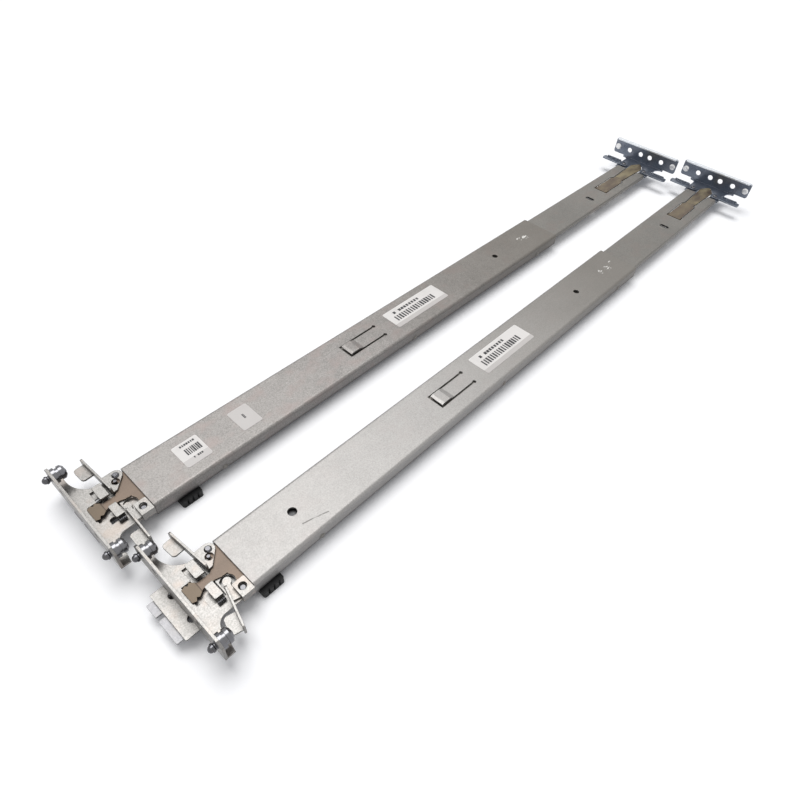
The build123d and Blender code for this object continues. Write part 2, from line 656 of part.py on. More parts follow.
def rear_arm():
    """The finger arm on the positive side, a flat bar with a lip towards the flange."""
    low = REAR_BASE_TOP + RUN_GAP
    half = REAR_ARM_WIDTH / 2
    end = REAR_ARM_REACH
    bar = patch(REAR_PIVOT_X, end, REAR_PIVOT_Y - half, REAR_PIVOT_Y + half)
    bar = fillet(bar.vertices().group_by(Axis.X)[-1], REAR_ARM_CORNER)
    outline = bar + disc(REAR_PIVOT_X, REAR_PIVOT_Y, REAR_ARM_EYE)
    outline -= disc(REAR_PIVOT_X, REAR_PIVOT_Y, RIVET_RADIUS + PIVOT_GAP)
    body = plate(outline, low, REAR_ARM_WALL)
    lip_y = REAR_PIVOT_Y + half
    lip_from = REAR_PIVOT_X + REAR_ARM_EYE + REAR_ARM_WALL
    return body + block(lip_from, end - half, lip_y - REAR_ARM_WALL, lip_y, low, low + REAR_ARM_LIP)


def rear_rivets():
    """The pivot rivets of the rear arms."""
    low = REAR_BASE_LOW
    top = REAR_BASE_TOP + 2 * RUN_GAP + REAR_ARM_WALL
    return joined([pivot_rivet(side * REAR_PIVOT_X, REAR_PIVOT_Y, low, top) for side in (-1, 1)])


def pivot_rivet(x, y, low, top):
    """A rivet whose shank fills its hole below and whose head stands over the arm."""
    head = Cone(RIVET_HEAD_RADIUS, RIVET_RADIUS, RIVET_HEAD_HEIGHT)
    return post(x, y, low, top, RIVET_RADIUS) + Pos(x, y, top + RIVET_HEAD_HEIGHT / 2) * head


def bracket_outline():
    """The front bracket seen from above: a wide flange edge swept into the rail's width."""
    half = FLANGE_WIDTH / 2
    sweep_x, sweep_y = BRACKET_SWEEP_LEFT
    sweep = BRACKET_SWEEP_RIGHT
    left, right = BRACKET_LEFT_X, BRACKET_RIGHT_X - BRACKET_RIGHT_STEP
    left_y = BRACKET_WING + sweep_y
    wing_right = BRACKET_WING + BRACKET_WING_SLOPE
    inner = CHANNEL_INNER_X - BRACKET_INSET
    hood_front, hood_back = HOOD[2:]
    left_curve = EllipticalCenterArc(
        (left - sweep_x, left_y), sweep_x, sweep_y, start_angle=270, arc_size=90
    )
    right_curve = CenterArc((right + sweep, wing_right + sweep), sweep, 180, 90)
    edges = [
        Polyline((left - sweep_x, BRACKET_WING), (-half, BRACKET_WING), (-half, FLANGE_FRONT),
                 (half, FLANGE_FRONT), (half, BRACKET_WING), (right + sweep, wing_right)),
        right_curve,
        Polyline((right, wing_right + sweep), (right, hood_front), (BRACKET_RIGHT_X, hood_front),
                 (BRACKET_RIGHT_X, hood_back), (inner, hood_back), (inner, BRACKET_JOGGLE_Y),
                 (-inner, BRACKET_JOGGLE_Y), (-inner, CHANNEL_FRONT - RUN_GAP),
                 (left, CHANNEL_FRONT - RUN_GAP - BRACKET_INSET), (left, left_y)),
        left_curve,
    ]
    return make_face(edges)


def bracket_perch(top_box, level, riser_side):
    """A tab lanced out of its window: a flat top on a riser at one side of the window."""
    x0, x1, y0, y1 = top_box
    outline = fillet(patch(*top_box).vertices().group_by(Axis.Y)[0], PERCH_CORNER)
    top = plate(outline, level - PERCH_WALL, PERCH_WALL)
    edge = x0 if riser_side < 0 else x1 - PERCH_WALL
    riser = block(edge, edge + PERCH_WALL, y0 + PERCH_INSET, y1, BRACKET_LOW, level - PERCH_WALL / 2)
    foot = block(edge + riser_side * PERCH_WALL, edge + (1 + riser_side) * PERCH_WALL,
                 y0 + PERCH_INSET, y1, BRACKET_LOW, BRACKET_TOP)
    return top + riser + foot


def front_flange():
    """The upright plate of the front bracket, with the two pin holes."""
    half = FLANGE_WIDTH / 2
    corner = FLANGE_CORNER
    face = make_face(Polyline(
        (-half, BRACKET_LOW), (half, BRACKET_LOW), (half, FLANGE_TOP - corner),
        (half - corner, FLANGE_TOP), (corner - half, FLANGE_TOP), (-half, FLANGE_TOP - corner), close=True,
    ))
    for side in (-1, 1):
        face -= disc(side * PIN_X, PIN_Z, PIN_RADIUS + PIVOT_GAP)
        face -= disc(side * HOLE_MIDDLE, PIN_Z, REAR_HOLE_RADIUS)
    return Pos(0, FLANGE_BACK, 0) * extrude(Plane.XZ * face, amount=FLANGE_WALL)


def bracket_tail():
    """The tail that steps up to lie against the underside of the channel's web."""
    level = BRACKET_TOP - BRACKET_WALL / 2
    raised = -CHANNEL_WALL - BRACKET_WALL / 2
    line = Polyline(
        (BRACKET_JOGGLE_Y - BRACKET_INSET, level), (BRACKET_JOGGLE_Y, level),
        (BRACKET_JOGGLE_Y + BRACKET_JOGGLE_LENGTH, raised), (BRACKET_TAIL_END, raised),
    )
    section = trace(line, line_width=BRACKET_WALL)
    return Pos(-BRACKET_TAIL_HALF, 0, 0) * extrude(Plane.YZ * section, amount=2 * BRACKET_TAIL_HALF)


def bracket_hood():
    """The bridge over the lower arm's eye, which holds the top of its rivet."""
    x0, x1, y0, y1 = HOOD
    outline = fillet(patch(*HOOD).vertices().group_by(Axis.X)[0], PERCH_CORNER)
    top = plate(outline, HOOD_TOP, HOOD_WALL)
    wall = block(x1 - HOOD_WALL, x1, y0, y1, BRACKET_LOW, HOOD_TOP + HOOD_WALL)
    return top + wall - post(ARM_PIVOT_X, ARM_PIVOT_Y, HOOD_TOP, HOOD_TOP + HOOD_WALL, HOOD_HOLE_RADIUS)


def front_bracket():
    """The formed front plate: flange, swept base, lanced perches, hood and tail."""
    body = plate(bracket_outline(), BRACKET_LOW, BRACKET_WALL)
    for window in (WINDOW_LEFT, WINDOW_RIGHT, NOSE_WINDOW):
        body -= block(*window, BRACKET_LOW, BRACKET_TOP)
    x, y, radius = TRIGGER_SCALLOP
    scallop = post(x, y, BRACKET_LOW, BRACKET_TOP, radius - SCALLOP_EDGE)
    body -= scallop & block(x - radius, x + radius, y - SCALLOP_FLAT, y + radius, BRACKET_LOW, BRACKET_TOP)
    body -= block(*SCALLOP_SLOT, BRACKET_LOW, BRACKET_TOP)
    body += front_flange() + bracket_tail() + bracket_hood()
    body += bracket_perch(PERCH_LEFT, PERCH_LEFT_TOP, -1) + bracket_perch(PERCH_RIGHT, PERCH_RIGHT_TOP, 1)
    for side in (-1, 1):
        body -= post(side * ARM_PIVOT_X, ARM_PIVOT_Y, BRACKET_LOW, BRACKET_TOP, RIVET_RADIUS)
    stop_x, stop_y = STOP_PIN_OFFSET
    body -= post(stop_x - ARM_PIVOT_X, ARM_PIVOT_Y + stop_y, BRACKET_LOW, BRACKET_TOP, STOP_PIN_RADIUS)
    return body


def front_rivets():
    """The pivot rivets of the front arms and the upper arm's stop pin."""
    upper_top = UPPER_LUG_LOW + ARM_WALL + RUN_GAP
    upper = pivot_rivet(-ARM_PIVOT_X, ARM_PIVOT_Y, BRACKET_LOW, upper_top)
    lower = pivot_rivet(ARM_PIVOT_X, ARM_PIVOT_Y, BRACKET_LOW, LOWER_LUG_LOW + ARM_WALL + RUN_GAP)
    stop_x, stop_y = STOP_PIN_OFFSET
    stop_top = upper_top + RIVET_HEAD_HEIGHT / 2
    stop = post(stop_x - ARM_PIVOT_X, ARM_PIVOT_Y + stop_y, BRACKET_LOW, stop_top, STOP_PIN_RADIUS)
    return joined([upper, lower, stop])


def arm_strip(inner_x, side, low):
    """The upright strip of a front arm, with its thumb tab along the lower edge."""
    back = ARM_STRIP_Y + ARM_STRIP_WALL
    strip = block(inner_x, ARM_REACH, ARM_STRIP_Y, back, low, ARM_STRIP_TOP)
    corner = strip.edges().filter_by(Axis.Y).group_by(Axis.Z)[-1]
    strip = fillet(corner, ARM_STRIP_CORNER)
    tab = patch(ARM_TAB_OUT - ARM_TAB_WIDTH, ARM_TAB_OUT, ARM_STRIP_Y - ARM_TAB_DEPTH, back)
    tab = fillet(tab.vertices().group_by(Axis.Y)[0], ARM_TAB_CORNER)
    body = strip + plate(tab, low, ARM_WALL)
    return body if side > 0 else mirror(body, about=Plane.YZ)


def front_upper_arm():
    """The arm on the negative side: its lug lies over the latch plate."""
    lug_back = ARM_STRIP_Y + UPPER_LUG_DEPTH
    eye = disc(-ARM_PIVOT_X, ARM_PIVOT_Y, ARM_EYE)
    lug = make_hull((patch(*UPPER_LUG_SPAN, ARM_STRIP_Y, lug_back) + eye).edges())
    lug -= disc(-ARM_PIVOT_X, ARM_PIVOT_Y, RIVET_RADIUS + PIVOT_GAP)
    stop_x, stop_y = STOP_PIN_OFFSET
    lug -= disc(stop_x - ARM_PIVOT_X, ARM_PIVOT_Y + stop_y, STOP_HOLE_RADIUS)
    return plate(lug, UPPER_LUG_LOW, ARM_WALL) + arm_strip(-UPPER_LUG_SPAN[1], -1, UPPER_LUG_LOW)


def front_lower_arm():
    """The arm on the positive side: its eye lies on the bracket, under the hood."""
    inner = ARM_PIVOT_X - ARM_EYE
    tip_x, tip_y = LOWER_LUG_TIP
    reach = LOWER_LUG_TIP_RADIUS
    lug = disc(ARM_PIVOT_X, ARM_PIVOT_Y, ARM_EYE)
    lug += patch(inner, ARM_PIVOT_X + ARM_EYE, ARM_STRIP_Y, ARM_PIVOT_Y)
    lug += patch(tip_x, ARM_PIVOT_X, tip_y - reach, tip_y + reach / 2) + disc(tip_x, tip_y, reach)
    lug -= disc(ARM_PIVOT_X, ARM_PIVOT_Y, RIVET_RADIUS + PIVOT_GAP)
    return plate(lug, LOWER_LUG_LOW, ARM_WALL) + arm_strip(inner, 1, LOWER_LUG_LOW)


def arm_spring():
    """The return spring of the lower arm, as closed coils on the bracket."""
    inner, outer, half = ARM_SPRING_BORE, ARM_SPRING_RADIUS, ARM_SPRING_WIRE / 2
    z = BRACKET_TOP + ARM_SPRING_RADIUS
    coil = None
    for turn in range(ARM_SPRING_TURNS):
        y = ARM_SPRING_FRONT + ARM_SPRING_PITCH * turn
        outline = [(inner, y - half), (inner, y + half), (outer - half / 2, y + half), (outer, y),
                   (outer - half / 2, y - half)]
        ring = spindle(ARM_SPRING_X, z, outline)
        coil = ring if coil is None else coil + ring
    return coil


def pin_barrels():
    """The barrels that hold the spring pins, open where the pin passes the flange."""
    foot = FLANGE_BACK + BARREL_FOOT_LENGTH
    body = foot + BARREL_GROOVE_LENGTH
    tail_hole = PIN_TAIL_RADIUS + PIVOT_GAP
    outline = [
        (BARREL_BORE, FLANGE_BACK),
        (BARREL_FOOT_RADIUS, FLANGE_BACK),
        (BARREL_FOOT_RADIUS, foot),
        (BARREL_GROOVE_RADIUS, foot),
        (BARREL_GROOVE_RADIUS, body),
        (BARREL_RADIUS, body),
        (BARREL_RADIUS, BARREL_BACK - BARREL_CAP_LENGTH),
        (BARREL_CAP_RADIUS, BARREL_BACK),
        (tail_hole, BARREL_BACK),
        (tail_hole, PIN_SPRING_BACK),
        (BARREL_BORE, PIN_SPRING_BACK),
    ]
    return joined([spindle(side * PIN_X, PIN_Z, outline) for side in (-1, 1)])


def rack_pin(side):
    """A spring pin: ball nose, neck, shank through the flange, shoulder and tail."""
    shoulder = FLANGE_BACK + RUN_GAP
    shoulder_radius = BARREL_BORE - RUN_GAP
    tail = BARREL_BACK + PIN_TAIL_PROUD
    neck_back = FLANGE_FRONT - PIN_NECK_CHAMFER
    neck_front = neck_back - PIN_NECK_LENGTH
    land_back = neck_front - PIN_NECK_CHAMFER
    land_front = land_back - PIN_LAND_LENGTH
    outline = [
        (0, land_front),
        (PIN_RADIUS, land_front),
        (PIN_RADIUS, land_back),
        (PIN_NECK_RADIUS, neck_front),
        (PIN_NECK_RADIUS, neck_back),
        (PIN_RADIUS, FLANGE_FRONT),
        (PIN_RADIUS, shoulder),
        (shoulder_radius, shoulder),
        (shoulder_radius, PIN_SPRING_FRONT),
        (PIN_TAIL_RADIUS, PIN_SPRING_FRONT),
        (PIN_TAIL_RADIUS, tail),
        (0, tail),
    ]
    ball = Pos(side * PIN_X, land_front, PIN_Z) * Sphere(PIN_BALL_RADIUS)
    return spindle(side * PIN_X, PIN_Z, outline) + ball


def pin_spring(side):
    """The spring inside a barrel, between the pin's shoulder and the barrel's end."""
    inner, outer = PIN_TAIL_RADIUS + RUN_GAP, BARREL_BORE - RUN_GAP
    start, end = PIN_SPRING_FRONT, PIN_SPRING_BACK
    return spindle(side * PIN_X, PIN_Z, [(inner, start), (outer, start), (outer, end), (inner, end)])


def trigger_outline():
    """The front latch plate seen from above, with its neck and finger nose."""
    left, right, front, _ = TRIGGER_PLATE
    shoulder_x, shoulder_y = TRIGGER_SHOULDER
    neck_left, neck_right = TRIGGER_NECK
    nose_left, nose_right = TRIGGER_NOSE
    waist_left, waist_right = TRIGGER_WAIST
    wing_left, wing_right = TRIGGER_WING
    nose_front, nose_back, waist_y, wing_y, root_y = TRIGGER_NOSE_Y
    flare = TRIGGER_NECK_FLARE
    corner = TRIGGER_NOSE_CORNER
    outline = patch(*TRIGGER_PLATE) - patch(shoulder_x, right, front, shoulder_y)
    outline -= disc(*TRIGGER_SCALLOP)
    neck = [(neck_left, waist_y), (neck_left, front - flare), (neck_left - flare, front),
            (shoulder_x, front), (neck_right, front - flare), (neck_right, waist_y)]
    nose = [(neck_left, root_y), (wing_left, wing_y), (waist_left, waist_y), (nose_left, nose_back),
            (nose_left + corner, nose_front), (nose_right - corner, nose_front),
            (nose_right, nose_back), (waist_right, waist_y), (wing_right, wing_y), (neck_right, root_y)]
    return outline + make_face(Polyline(*neck, close=True)) + make_face(Polyline(*nose, close=True))


def front_latch():
    """The sliding latch plate under the channel's front edge, slotted round the pins."""
    body = plate(trigger_outline(), TRIGGER_LOW, TRIGGER_WALL)
    stop_x, stop_y = STOP_PIN_OFFSET
    places = [
        (-ARM_PIVOT_X, ARM_PIVOT_Y, RIVET_RADIUS + RUN_GAP, TRIGGER_PLATE[0]),
        (stop_x - ARM_PIVOT_X, ARM_PIVOT_Y + stop_y, STOP_PIN_RADIUS + RUN_GAP, stop_x - ARM_PIVOT_X),
    ]
    for x, y, half, open_x in places:
        left = min(open_x, x - half)
        body -= block(left, x + half, y - half - TRIGGER_TRAVEL, y + half, TRIGGER_LOW, TRIGGER_TOP)
    return body


def stickers(places):
    """Thin paper stickers on the channel's web."""
    outlines = [fillet(patch(*place).vertices(), LABEL_CORNER) for place in places]
    return joined([plate(outline, 0, LABEL_THICKNESS) for outline in outlines])


def turned(body, degrees, x, y):
    """A body turned about an upright axis."""
    return Pos(x, y, 0) * Rot(0, 0, degrees) * Pos(-x, -y, 0) * body


def rail_pieces(hand):
    """All pieces of one rail, in the rail's own frame."""
    drawn = SLIDE_DRAWN_OUT[hand]
    moved = Pos(0, -drawn, 0)
    halfway = Pos(0, -drawn / 2, 0)
    far_arm = mirror(rear_arm(), about=Plane.YZ)
    labels = (LABEL_LONG, LABEL_FRONT, LABEL_FAINT) if hand == "left" else (LABEL_LONG,)
    return {
        "front_channel": front_channel(),
        "front_bracket": front_bracket(),
        "front_latch": front_latch(),
        "front_upper_arm": turned(front_upper_arm(), UPPER_ARM_SET[hand], -ARM_PIVOT_X, ARM_PIVOT_Y),
        "front_lower_arm": turned(front_lower_arm(), LOWER_ARM_SET[hand], ARM_PIVOT_X, ARM_PIVOT_Y),
        "front_rivets": front_rivets(),
        "arm_spring": arm_spring(),
        "pin_barrels": pin_barrels(),
        "front_upper_pin": rack_pin(-1),
        "front_lower_pin": rack_pin(1),
        "upper_pin_spring": pin_spring(-1),
        "lower_pin_spring": pin_spring(1),
        "labels": stickers(labels),
        "slide_race": race(),
        "race_spacers": race_spacers(),
        "slide_member": moved * slide_member(),
        "slide_nose": moved * slide_nose(),
        "slide_guide": moved * slide_guide(),
        "slide_rivets": moved * slide_rivets(),
        "release_block": moved * release_block(),
        "ball_cage": halfway * ball_cage(),
        "bearing_balls": halfway * bearing_balls(),
        "rear_channel": rear_channel(),
        "glide_pads": glide_pads(),
        "rear_bracket": rear_bracket(),
        "rear_studs": rear_studs(),
        "rear_rivets": rear_rivets(),
        "rear_latch": rear_latch(),
        "rear_upper_arm": far_arm,
        "rear_lower_arm": rear_arm(),
    }


def rail_place(hand):
    """Where a rail's frame sits in the frame of the pair."""
    side = -1 if hand == "left" else 1
    middle = (FRONT_TIP_Y + STUD_TIP_Y) / 2
    stagger = 0 if hand == "left" else RAIL_STAGGER
    return Pos(side * RAIL_SPACING / 2, stagger - middle - RAIL_STAGGER, RAIL_DEPTH)


def main():
    """Write one file for each piece of each rail."""
    os.makedirs("parts", exist_ok=True)
    for hand in ("left", "right"):
        place = rail_place(hand)
        for name, piece in rail_pieces(hand).items():
            export_step(place * piece, f"parts/{hand}_{name}.step")


main()
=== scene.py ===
"""Looks of a pair of sliding server rails, built around the rails' fixed frame.

The frame gives every piece its place, in metres: +Y runs along the rails from the front
flanges to the rear flanges, +Z points up through the outer faces. Each rail also has its
own frame, in millimetres: x across the rail, y towards the rear from a line just behind the
front flange, and z up from the outer face of the front channel. Marks, folds and print have
their places there. Tones are linear colours, and shares run from 0 to 1.
"""

from __future__ import annotations

import logging
import math
from dataclasses import dataclass, field, replace
from enum import Enum
from typing import Any, Protocol, Self

import bpy
from mathutils import Matrix, Vector


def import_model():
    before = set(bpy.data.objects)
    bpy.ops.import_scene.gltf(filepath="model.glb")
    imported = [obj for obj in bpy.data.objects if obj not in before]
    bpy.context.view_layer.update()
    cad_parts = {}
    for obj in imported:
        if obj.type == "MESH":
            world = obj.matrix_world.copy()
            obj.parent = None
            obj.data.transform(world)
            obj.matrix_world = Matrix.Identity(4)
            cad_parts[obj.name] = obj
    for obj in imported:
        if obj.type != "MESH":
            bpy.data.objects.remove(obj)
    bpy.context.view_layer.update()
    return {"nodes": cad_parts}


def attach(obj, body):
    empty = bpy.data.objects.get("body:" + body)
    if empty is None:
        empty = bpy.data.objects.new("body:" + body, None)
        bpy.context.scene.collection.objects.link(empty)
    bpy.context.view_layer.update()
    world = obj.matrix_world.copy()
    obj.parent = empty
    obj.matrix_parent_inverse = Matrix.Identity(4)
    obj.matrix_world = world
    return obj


LOG = logging.getLogger("server_rails")
MM = 0.001
PER_METRE = 1000.0
LABEL_TOP = 0.12
INK_THICKNESS = 0.03

Colour = tuple[float, float, float]
PerAxis = tuple[float, float, float]

WHITE: Colour = (1.0, 1.0, 1.0)
OPAQUE = 1.0


class Hand(Enum):
    """The two rails of the pair."""

    LEFT = "left"
    RIGHT = "right"


@dataclass(frozen=True)
class RailPlace:
    """Where a rail's own frame lies in the object, in millimetres."""

    hand: Hand
    x: float
    y: float
    top: float = 17.0

    def point(self, x: float, y: float, z: float) -> Vector:
        """A point of the rail's frame.

        Args:
            x: Across the rail, in millimetres.
            y: Along the rail, in millimetres.
            z: Height over the channel's outer face, in millimetres.

        Returns:
            The point in the object's frame, in metres.
        """
        return Vector((self.x + x, self.y + y, self.top + z)) * MM


LEFT_RAIL = RailPlace(Hand.LEFT, -44.85, -383.575)
RIGHT_RAIL = RailPlace(Hand.RIGHT, 44.85, -372.125)
RAIL_PLACES = (LEFT_RAIL, RIGHT_RAIL)


@dataclass(frozen=True)
class Mark:
    """Something painted at one place, in millimetres."""

    x: float
    y: float

    def on(self, rail: RailPlace) -> Self:
        """The same mark, moved from a rail's frame to the object's."""
        return replace(self, x=rail.x + self.x, y=rail.y + self.y)


@dataclass(frozen=True)
class Spot(Mark):
    """A round mark."""

    radius: float


@dataclass(frozen=True)
class Scratch(Mark):
    """A thin stroke along the rail that leans sideways."""

    length: float
    lean: float
    half_width: float = 0.45


@dataclass(frozen=True)
class Fold(Mark):
    """A fold line straight across a plate, whose middle is x, painted as crease shade with a shaded facet
    beside it.
    """

    reach: float = 30.0
    half_width: float = 0.35


@dataclass(frozen=True)
class Pattern:
    """A noise pattern: how fine it is, how strongly it is used, its octaves and its stretch."""

    per_metre: float
    weight: float = 1.0
    detail: float = 4.0
    stretch: PerAxis = (1.0, 1.0, 1.0)


@dataclass(frozen=True)
class Coat:
    """A tone laid over another, and how much of it shows where its mask is full."""

    tone: Colour
    share: float = 1.0


class Graph:
    """A node tree under construction, with a short way to add its nodes."""

    MIX_FACTOR = 0
    MIX_FIRST_COLOUR = 6
    MIX_SECOND_COLOUR = 7
    MIX_COLOUR_RESULT = 2
    SHOWN_RAYS = ("Is Camera Ray", "Is Glossy Ray", "Is Transmission Ray")

    def __init__(self, tree: bpy.types.NodeTree) -> None:
        """Starts from an emptied tree.

        Args:
            tree: The node tree.
        """
        self.tree = tree
        self.tree.nodes.clear()

    def node(self, kind: str, settings: dict[str, Any], inputs: dict[int | str, Any]) -> bpy.types.Node:
        """Adds a node.

        Args:
            kind: The node's type.
            settings: Properties of the node, which are set first.
            inputs: Values, colours, signals or sockets for its inputs, by index or name.

        Returns:
            The new node.
        """
        made = self.tree.nodes.new(kind)
        for key, value in settings.items():
            setattr(made, key, value)
        for key, value in inputs.items():
            entry = made.inputs[key]
            if isinstance(value, Signal):
                value = value.socket
            if isinstance(value, bpy.types.NodeSocket):
                self.tree.links.new(value, entry)
            elif entry.type == "RGBA":
                entry.default_value = (*value, OPAQUE)
            else:
                entry.default_value = value
        return made

    def mixed(self, factor: Signal, first: Any, second: Any) -> bpy.types.NodeSocket:
        """A colour between two colours.

        Args:
            factor: 0 for the first colour, 1 for the second.
            first: A colour or a socket.
            second: A colour or a socket.

        Returns:
            The mixed colour's socket.
        """
        values = {
            self.MIX_FACTOR: factor,
            self.MIX_FIRST_COLOUR: first,
            self.MIX_SECOND_COLOUR: second,
        }
        made = self.node("ShaderNodeMix", {"data_type": "RGBA"}, values)
        return made.outputs[self.MIX_COLOUR_RESULT]

    def shown(self) -> Signal:
        """Where the surround is looked at.

        Returns:
            1 for what the camera sees, also by way of metal and glass, and 0 for what lights the rails.
        """
        rays = self.node("ShaderNodeLightPath", {}, {}).outputs
        camera, glossy, through = (Signal(self, rays[name]) for name in self.SHOWN_RAYS)
        return (camera + glossy + through).clamped()


class Signal:
    """A value of a node tree that adds its Math nodes as it is used in an expression."""

    MIDDLE = 0.5

    def __init__(self, graph: Graph, socket: bpy.types.NodeSocket) -> None:
        """Wraps a socket.

        Args:
            graph: The tree that the socket belongs to.
            socket: The output socket that carries the value.
        """
        self.graph = graph
        self.socket = socket

    def _with(self, operation: str, *values: Signal | float) -> Signal:
        """Adds one Math node.

        Args:
            operation: What the node does.
            *values: The values that it works on.

        Returns:
            The node's result.
        """
        inputs = dict(enumerate(values))
        node = self.graph.node("ShaderNodeMath", {"operation": operation}, inputs)
        return Signal(self.graph, node.outputs[0])

    def __add__(self, other: Signal | float) -> Signal:
        """The sum."""
        return self._with("ADD", self, other)

    def __sub__(self, other: Signal | float) -> Signal:
        """The difference."""
        return self._with("SUBTRACT", self, other)

    def __rsub__(self, other: float) -> Signal:
        """The difference from a number."""
        return self._with("SUBTRACT", other, self)

    def __mul__(self, other: Signal | float) -> Signal:
        """The product."""
        return self._with("MULTIPLY", self, other)

    def __truediv__(self, other: Signal | float) -> Signal:
        """The quotient."""
        return self._with("DIVIDE", self, other)

    def __gt__(self, other: Signal | float) -> Signal:
        """1 where this value is greater, and 0 elsewhere."""
        return self._with("GREATER_THAN", self, other)

    def __lt__(self, other: Signal | float) -> Signal:
        """1 where this value is smaller, and 0 elsewhere."""
        return self._with("LESS_THAN", self, other)

    def __abs__(self) -> Signal:
        """The distance from zero."""
        return self._with("ABSOLUTE", self)

    def __pow__(self, other: float) -> Signal:
        """The power."""
        return self._with("POWER", self, other)

    def clamped(self) -> Signal:
        """The value kept between 0 and 1."""
        node = self.graph.node("ShaderNodeClamp", {}, {0: self})
        return Signal(self.graph, node.outputs[0])

    def swing(self, weight: float) -> Signal:
        """How far the value lies from the middle of its range, times a weight."""
        return (self - self.MIDDLE) * weight

    def over(self, level: float, slope: float) -> Signal:
        """How far the value lies over a level, times a slope, kept between 0 and 1."""
        return ((self - level) * slope).clamped()


def either(masks: list[Signal]) -> Signal:
    """The masks laid together, kept between 0 and 1."""
    return sum(masks[1:], start=masks[0]).clamped()


class Shader(Graph):
    """A material under construction."""

    EDGE_SAMPLES = 4
    EDGE_SLOPE = 6.0

    def __init__(self, name: str) -> None:
        """Starts an empty material.

        Args:
            name: The material's name.
        """
        self.material = bpy.data.materials.new(name)
        self.material.use_nodes = True
        super().__init__(self.material.node_tree)

    def place(self) -> bpy.types.NodeSocket:
        """The point on the piece, in metres."""
        return self.node("ShaderNodeTexCoord", {}, {}).outputs["Object"]

    def axes(self) -> tuple[Signal, Signal, Signal]:
        """The point on the piece by its parts.

        Returns:
            The point's x, y and z, in millimetres.
        """
        parts = self.node("ShaderNodeSeparateXYZ", {}, {0: self.place()})
        x, y, z = (Signal(self, socket) for socket in parts.outputs)
        return x * PER_METRE, y * PER_METRE, z * PER_METRE

    def noise(self, pattern: Pattern) -> Signal:
        """A noise value around the middle of its range.

        Args:
            pattern: The noise's pattern.

        Returns:
            The noise value, before its weight.
        """
        mapped = self.node("ShaderNodeMapping", {}, {"Vector": self.place(), "Scale": pattern.stretch})
        values = {"Vector": mapped.outputs[0], "Scale": pattern.per_metre, "Detail": pattern.detail}
        made = self.node("ShaderNodeTexNoise", {}, values)
        return Signal(self, made.outputs["Fac"])

    def cells(self, per_metre: float) -> Signal:
        """A random value for each crystal of a spangled surface.

        Args:
            per_metre: Crystals per metre.

        Returns:
            A value from 0 to 1 that is even within a crystal.
        """
        made = self.node("ShaderNodeTexVoronoi", {}, {"Vector": self.place(), "Scale": per_metre})
        grey = self.node("ShaderNodeSeparateColor", {}, {0: made.outputs["Color"]})
        return Signal(self, grey.outputs[0])

    def coated(self, mask: Signal, colour: Any, coat: Coat) -> bpy.types.NodeSocket:
        """A colour with a coat laid over it.

        Args:
            mask: Where the coat lies, from 0 to 1.
            colour: The colour under it, or its socket.
            coat: The coat.

        Returns:
            The coated colour's socket.
        """
        return self.mixed(mask * coat.share, colour, coat.tone)

    def edges(self, radius: float) -> tuple[bpy.types.NodeSocket, Signal]:
        """Softened edges.

        Args:
            radius: The edge's radius in millimetres.

        Returns:
            The softened normal and a mask that is 1 on the edges.
        """
        soft = self.node("ShaderNodeBevel", {"samples": self.EDGE_SAMPLES}, {0: radius * MM}).outputs[0]
        flat = self.node("ShaderNodeNewGeometry", {}, {}).outputs["Normal"]
        dot = self.node("ShaderNodeVectorMath", {"operation": "DOT_PRODUCT"}, {0: soft, 1: flat})
        mask = (1.0 - Signal(self, dot.outputs["Value"])) * self.EDGE_SLOPE
        return soft, mask.clamped()

    def bumped(self, height: Signal, depth: float, normal: bpy.types.NodeSocket) -> bpy.types.NodeSocket:
        """A surface normal with fine relief.

        Args:
            height: The relief, from 0 to 1.
            depth: Its depth in millimetres.
            normal: The normal that it is laid on.

        Returns:
            The normal's socket.
        """
        values = {"Height": height, "Distance": depth * MM, "Normal": normal, "Strength": 1.0}
        return self.node("ShaderNodeBump", {}, values).outputs[0]

    def finish(self, **inputs: Any) -> bpy.types.Material:
        """Closes the material with its surface shader.

        Args:
            **inputs: The surface shader's inputs, with spaces as underscores.

        Returns:
            The finished material.
        """
        named = {key.replace("_", " "): value for key, value in inputs.items()}
        surface = self.node("ShaderNodeBsdfPrincipled", {}, named)
        self.node("ShaderNodeOutputMaterial", {}, {0: surface.outputs[0]})
        return self.material


class Finish(Protocol):
    """A finish that can make its material."""

    def build(self) -> bpy.types.Material:
        """Makes the material."""


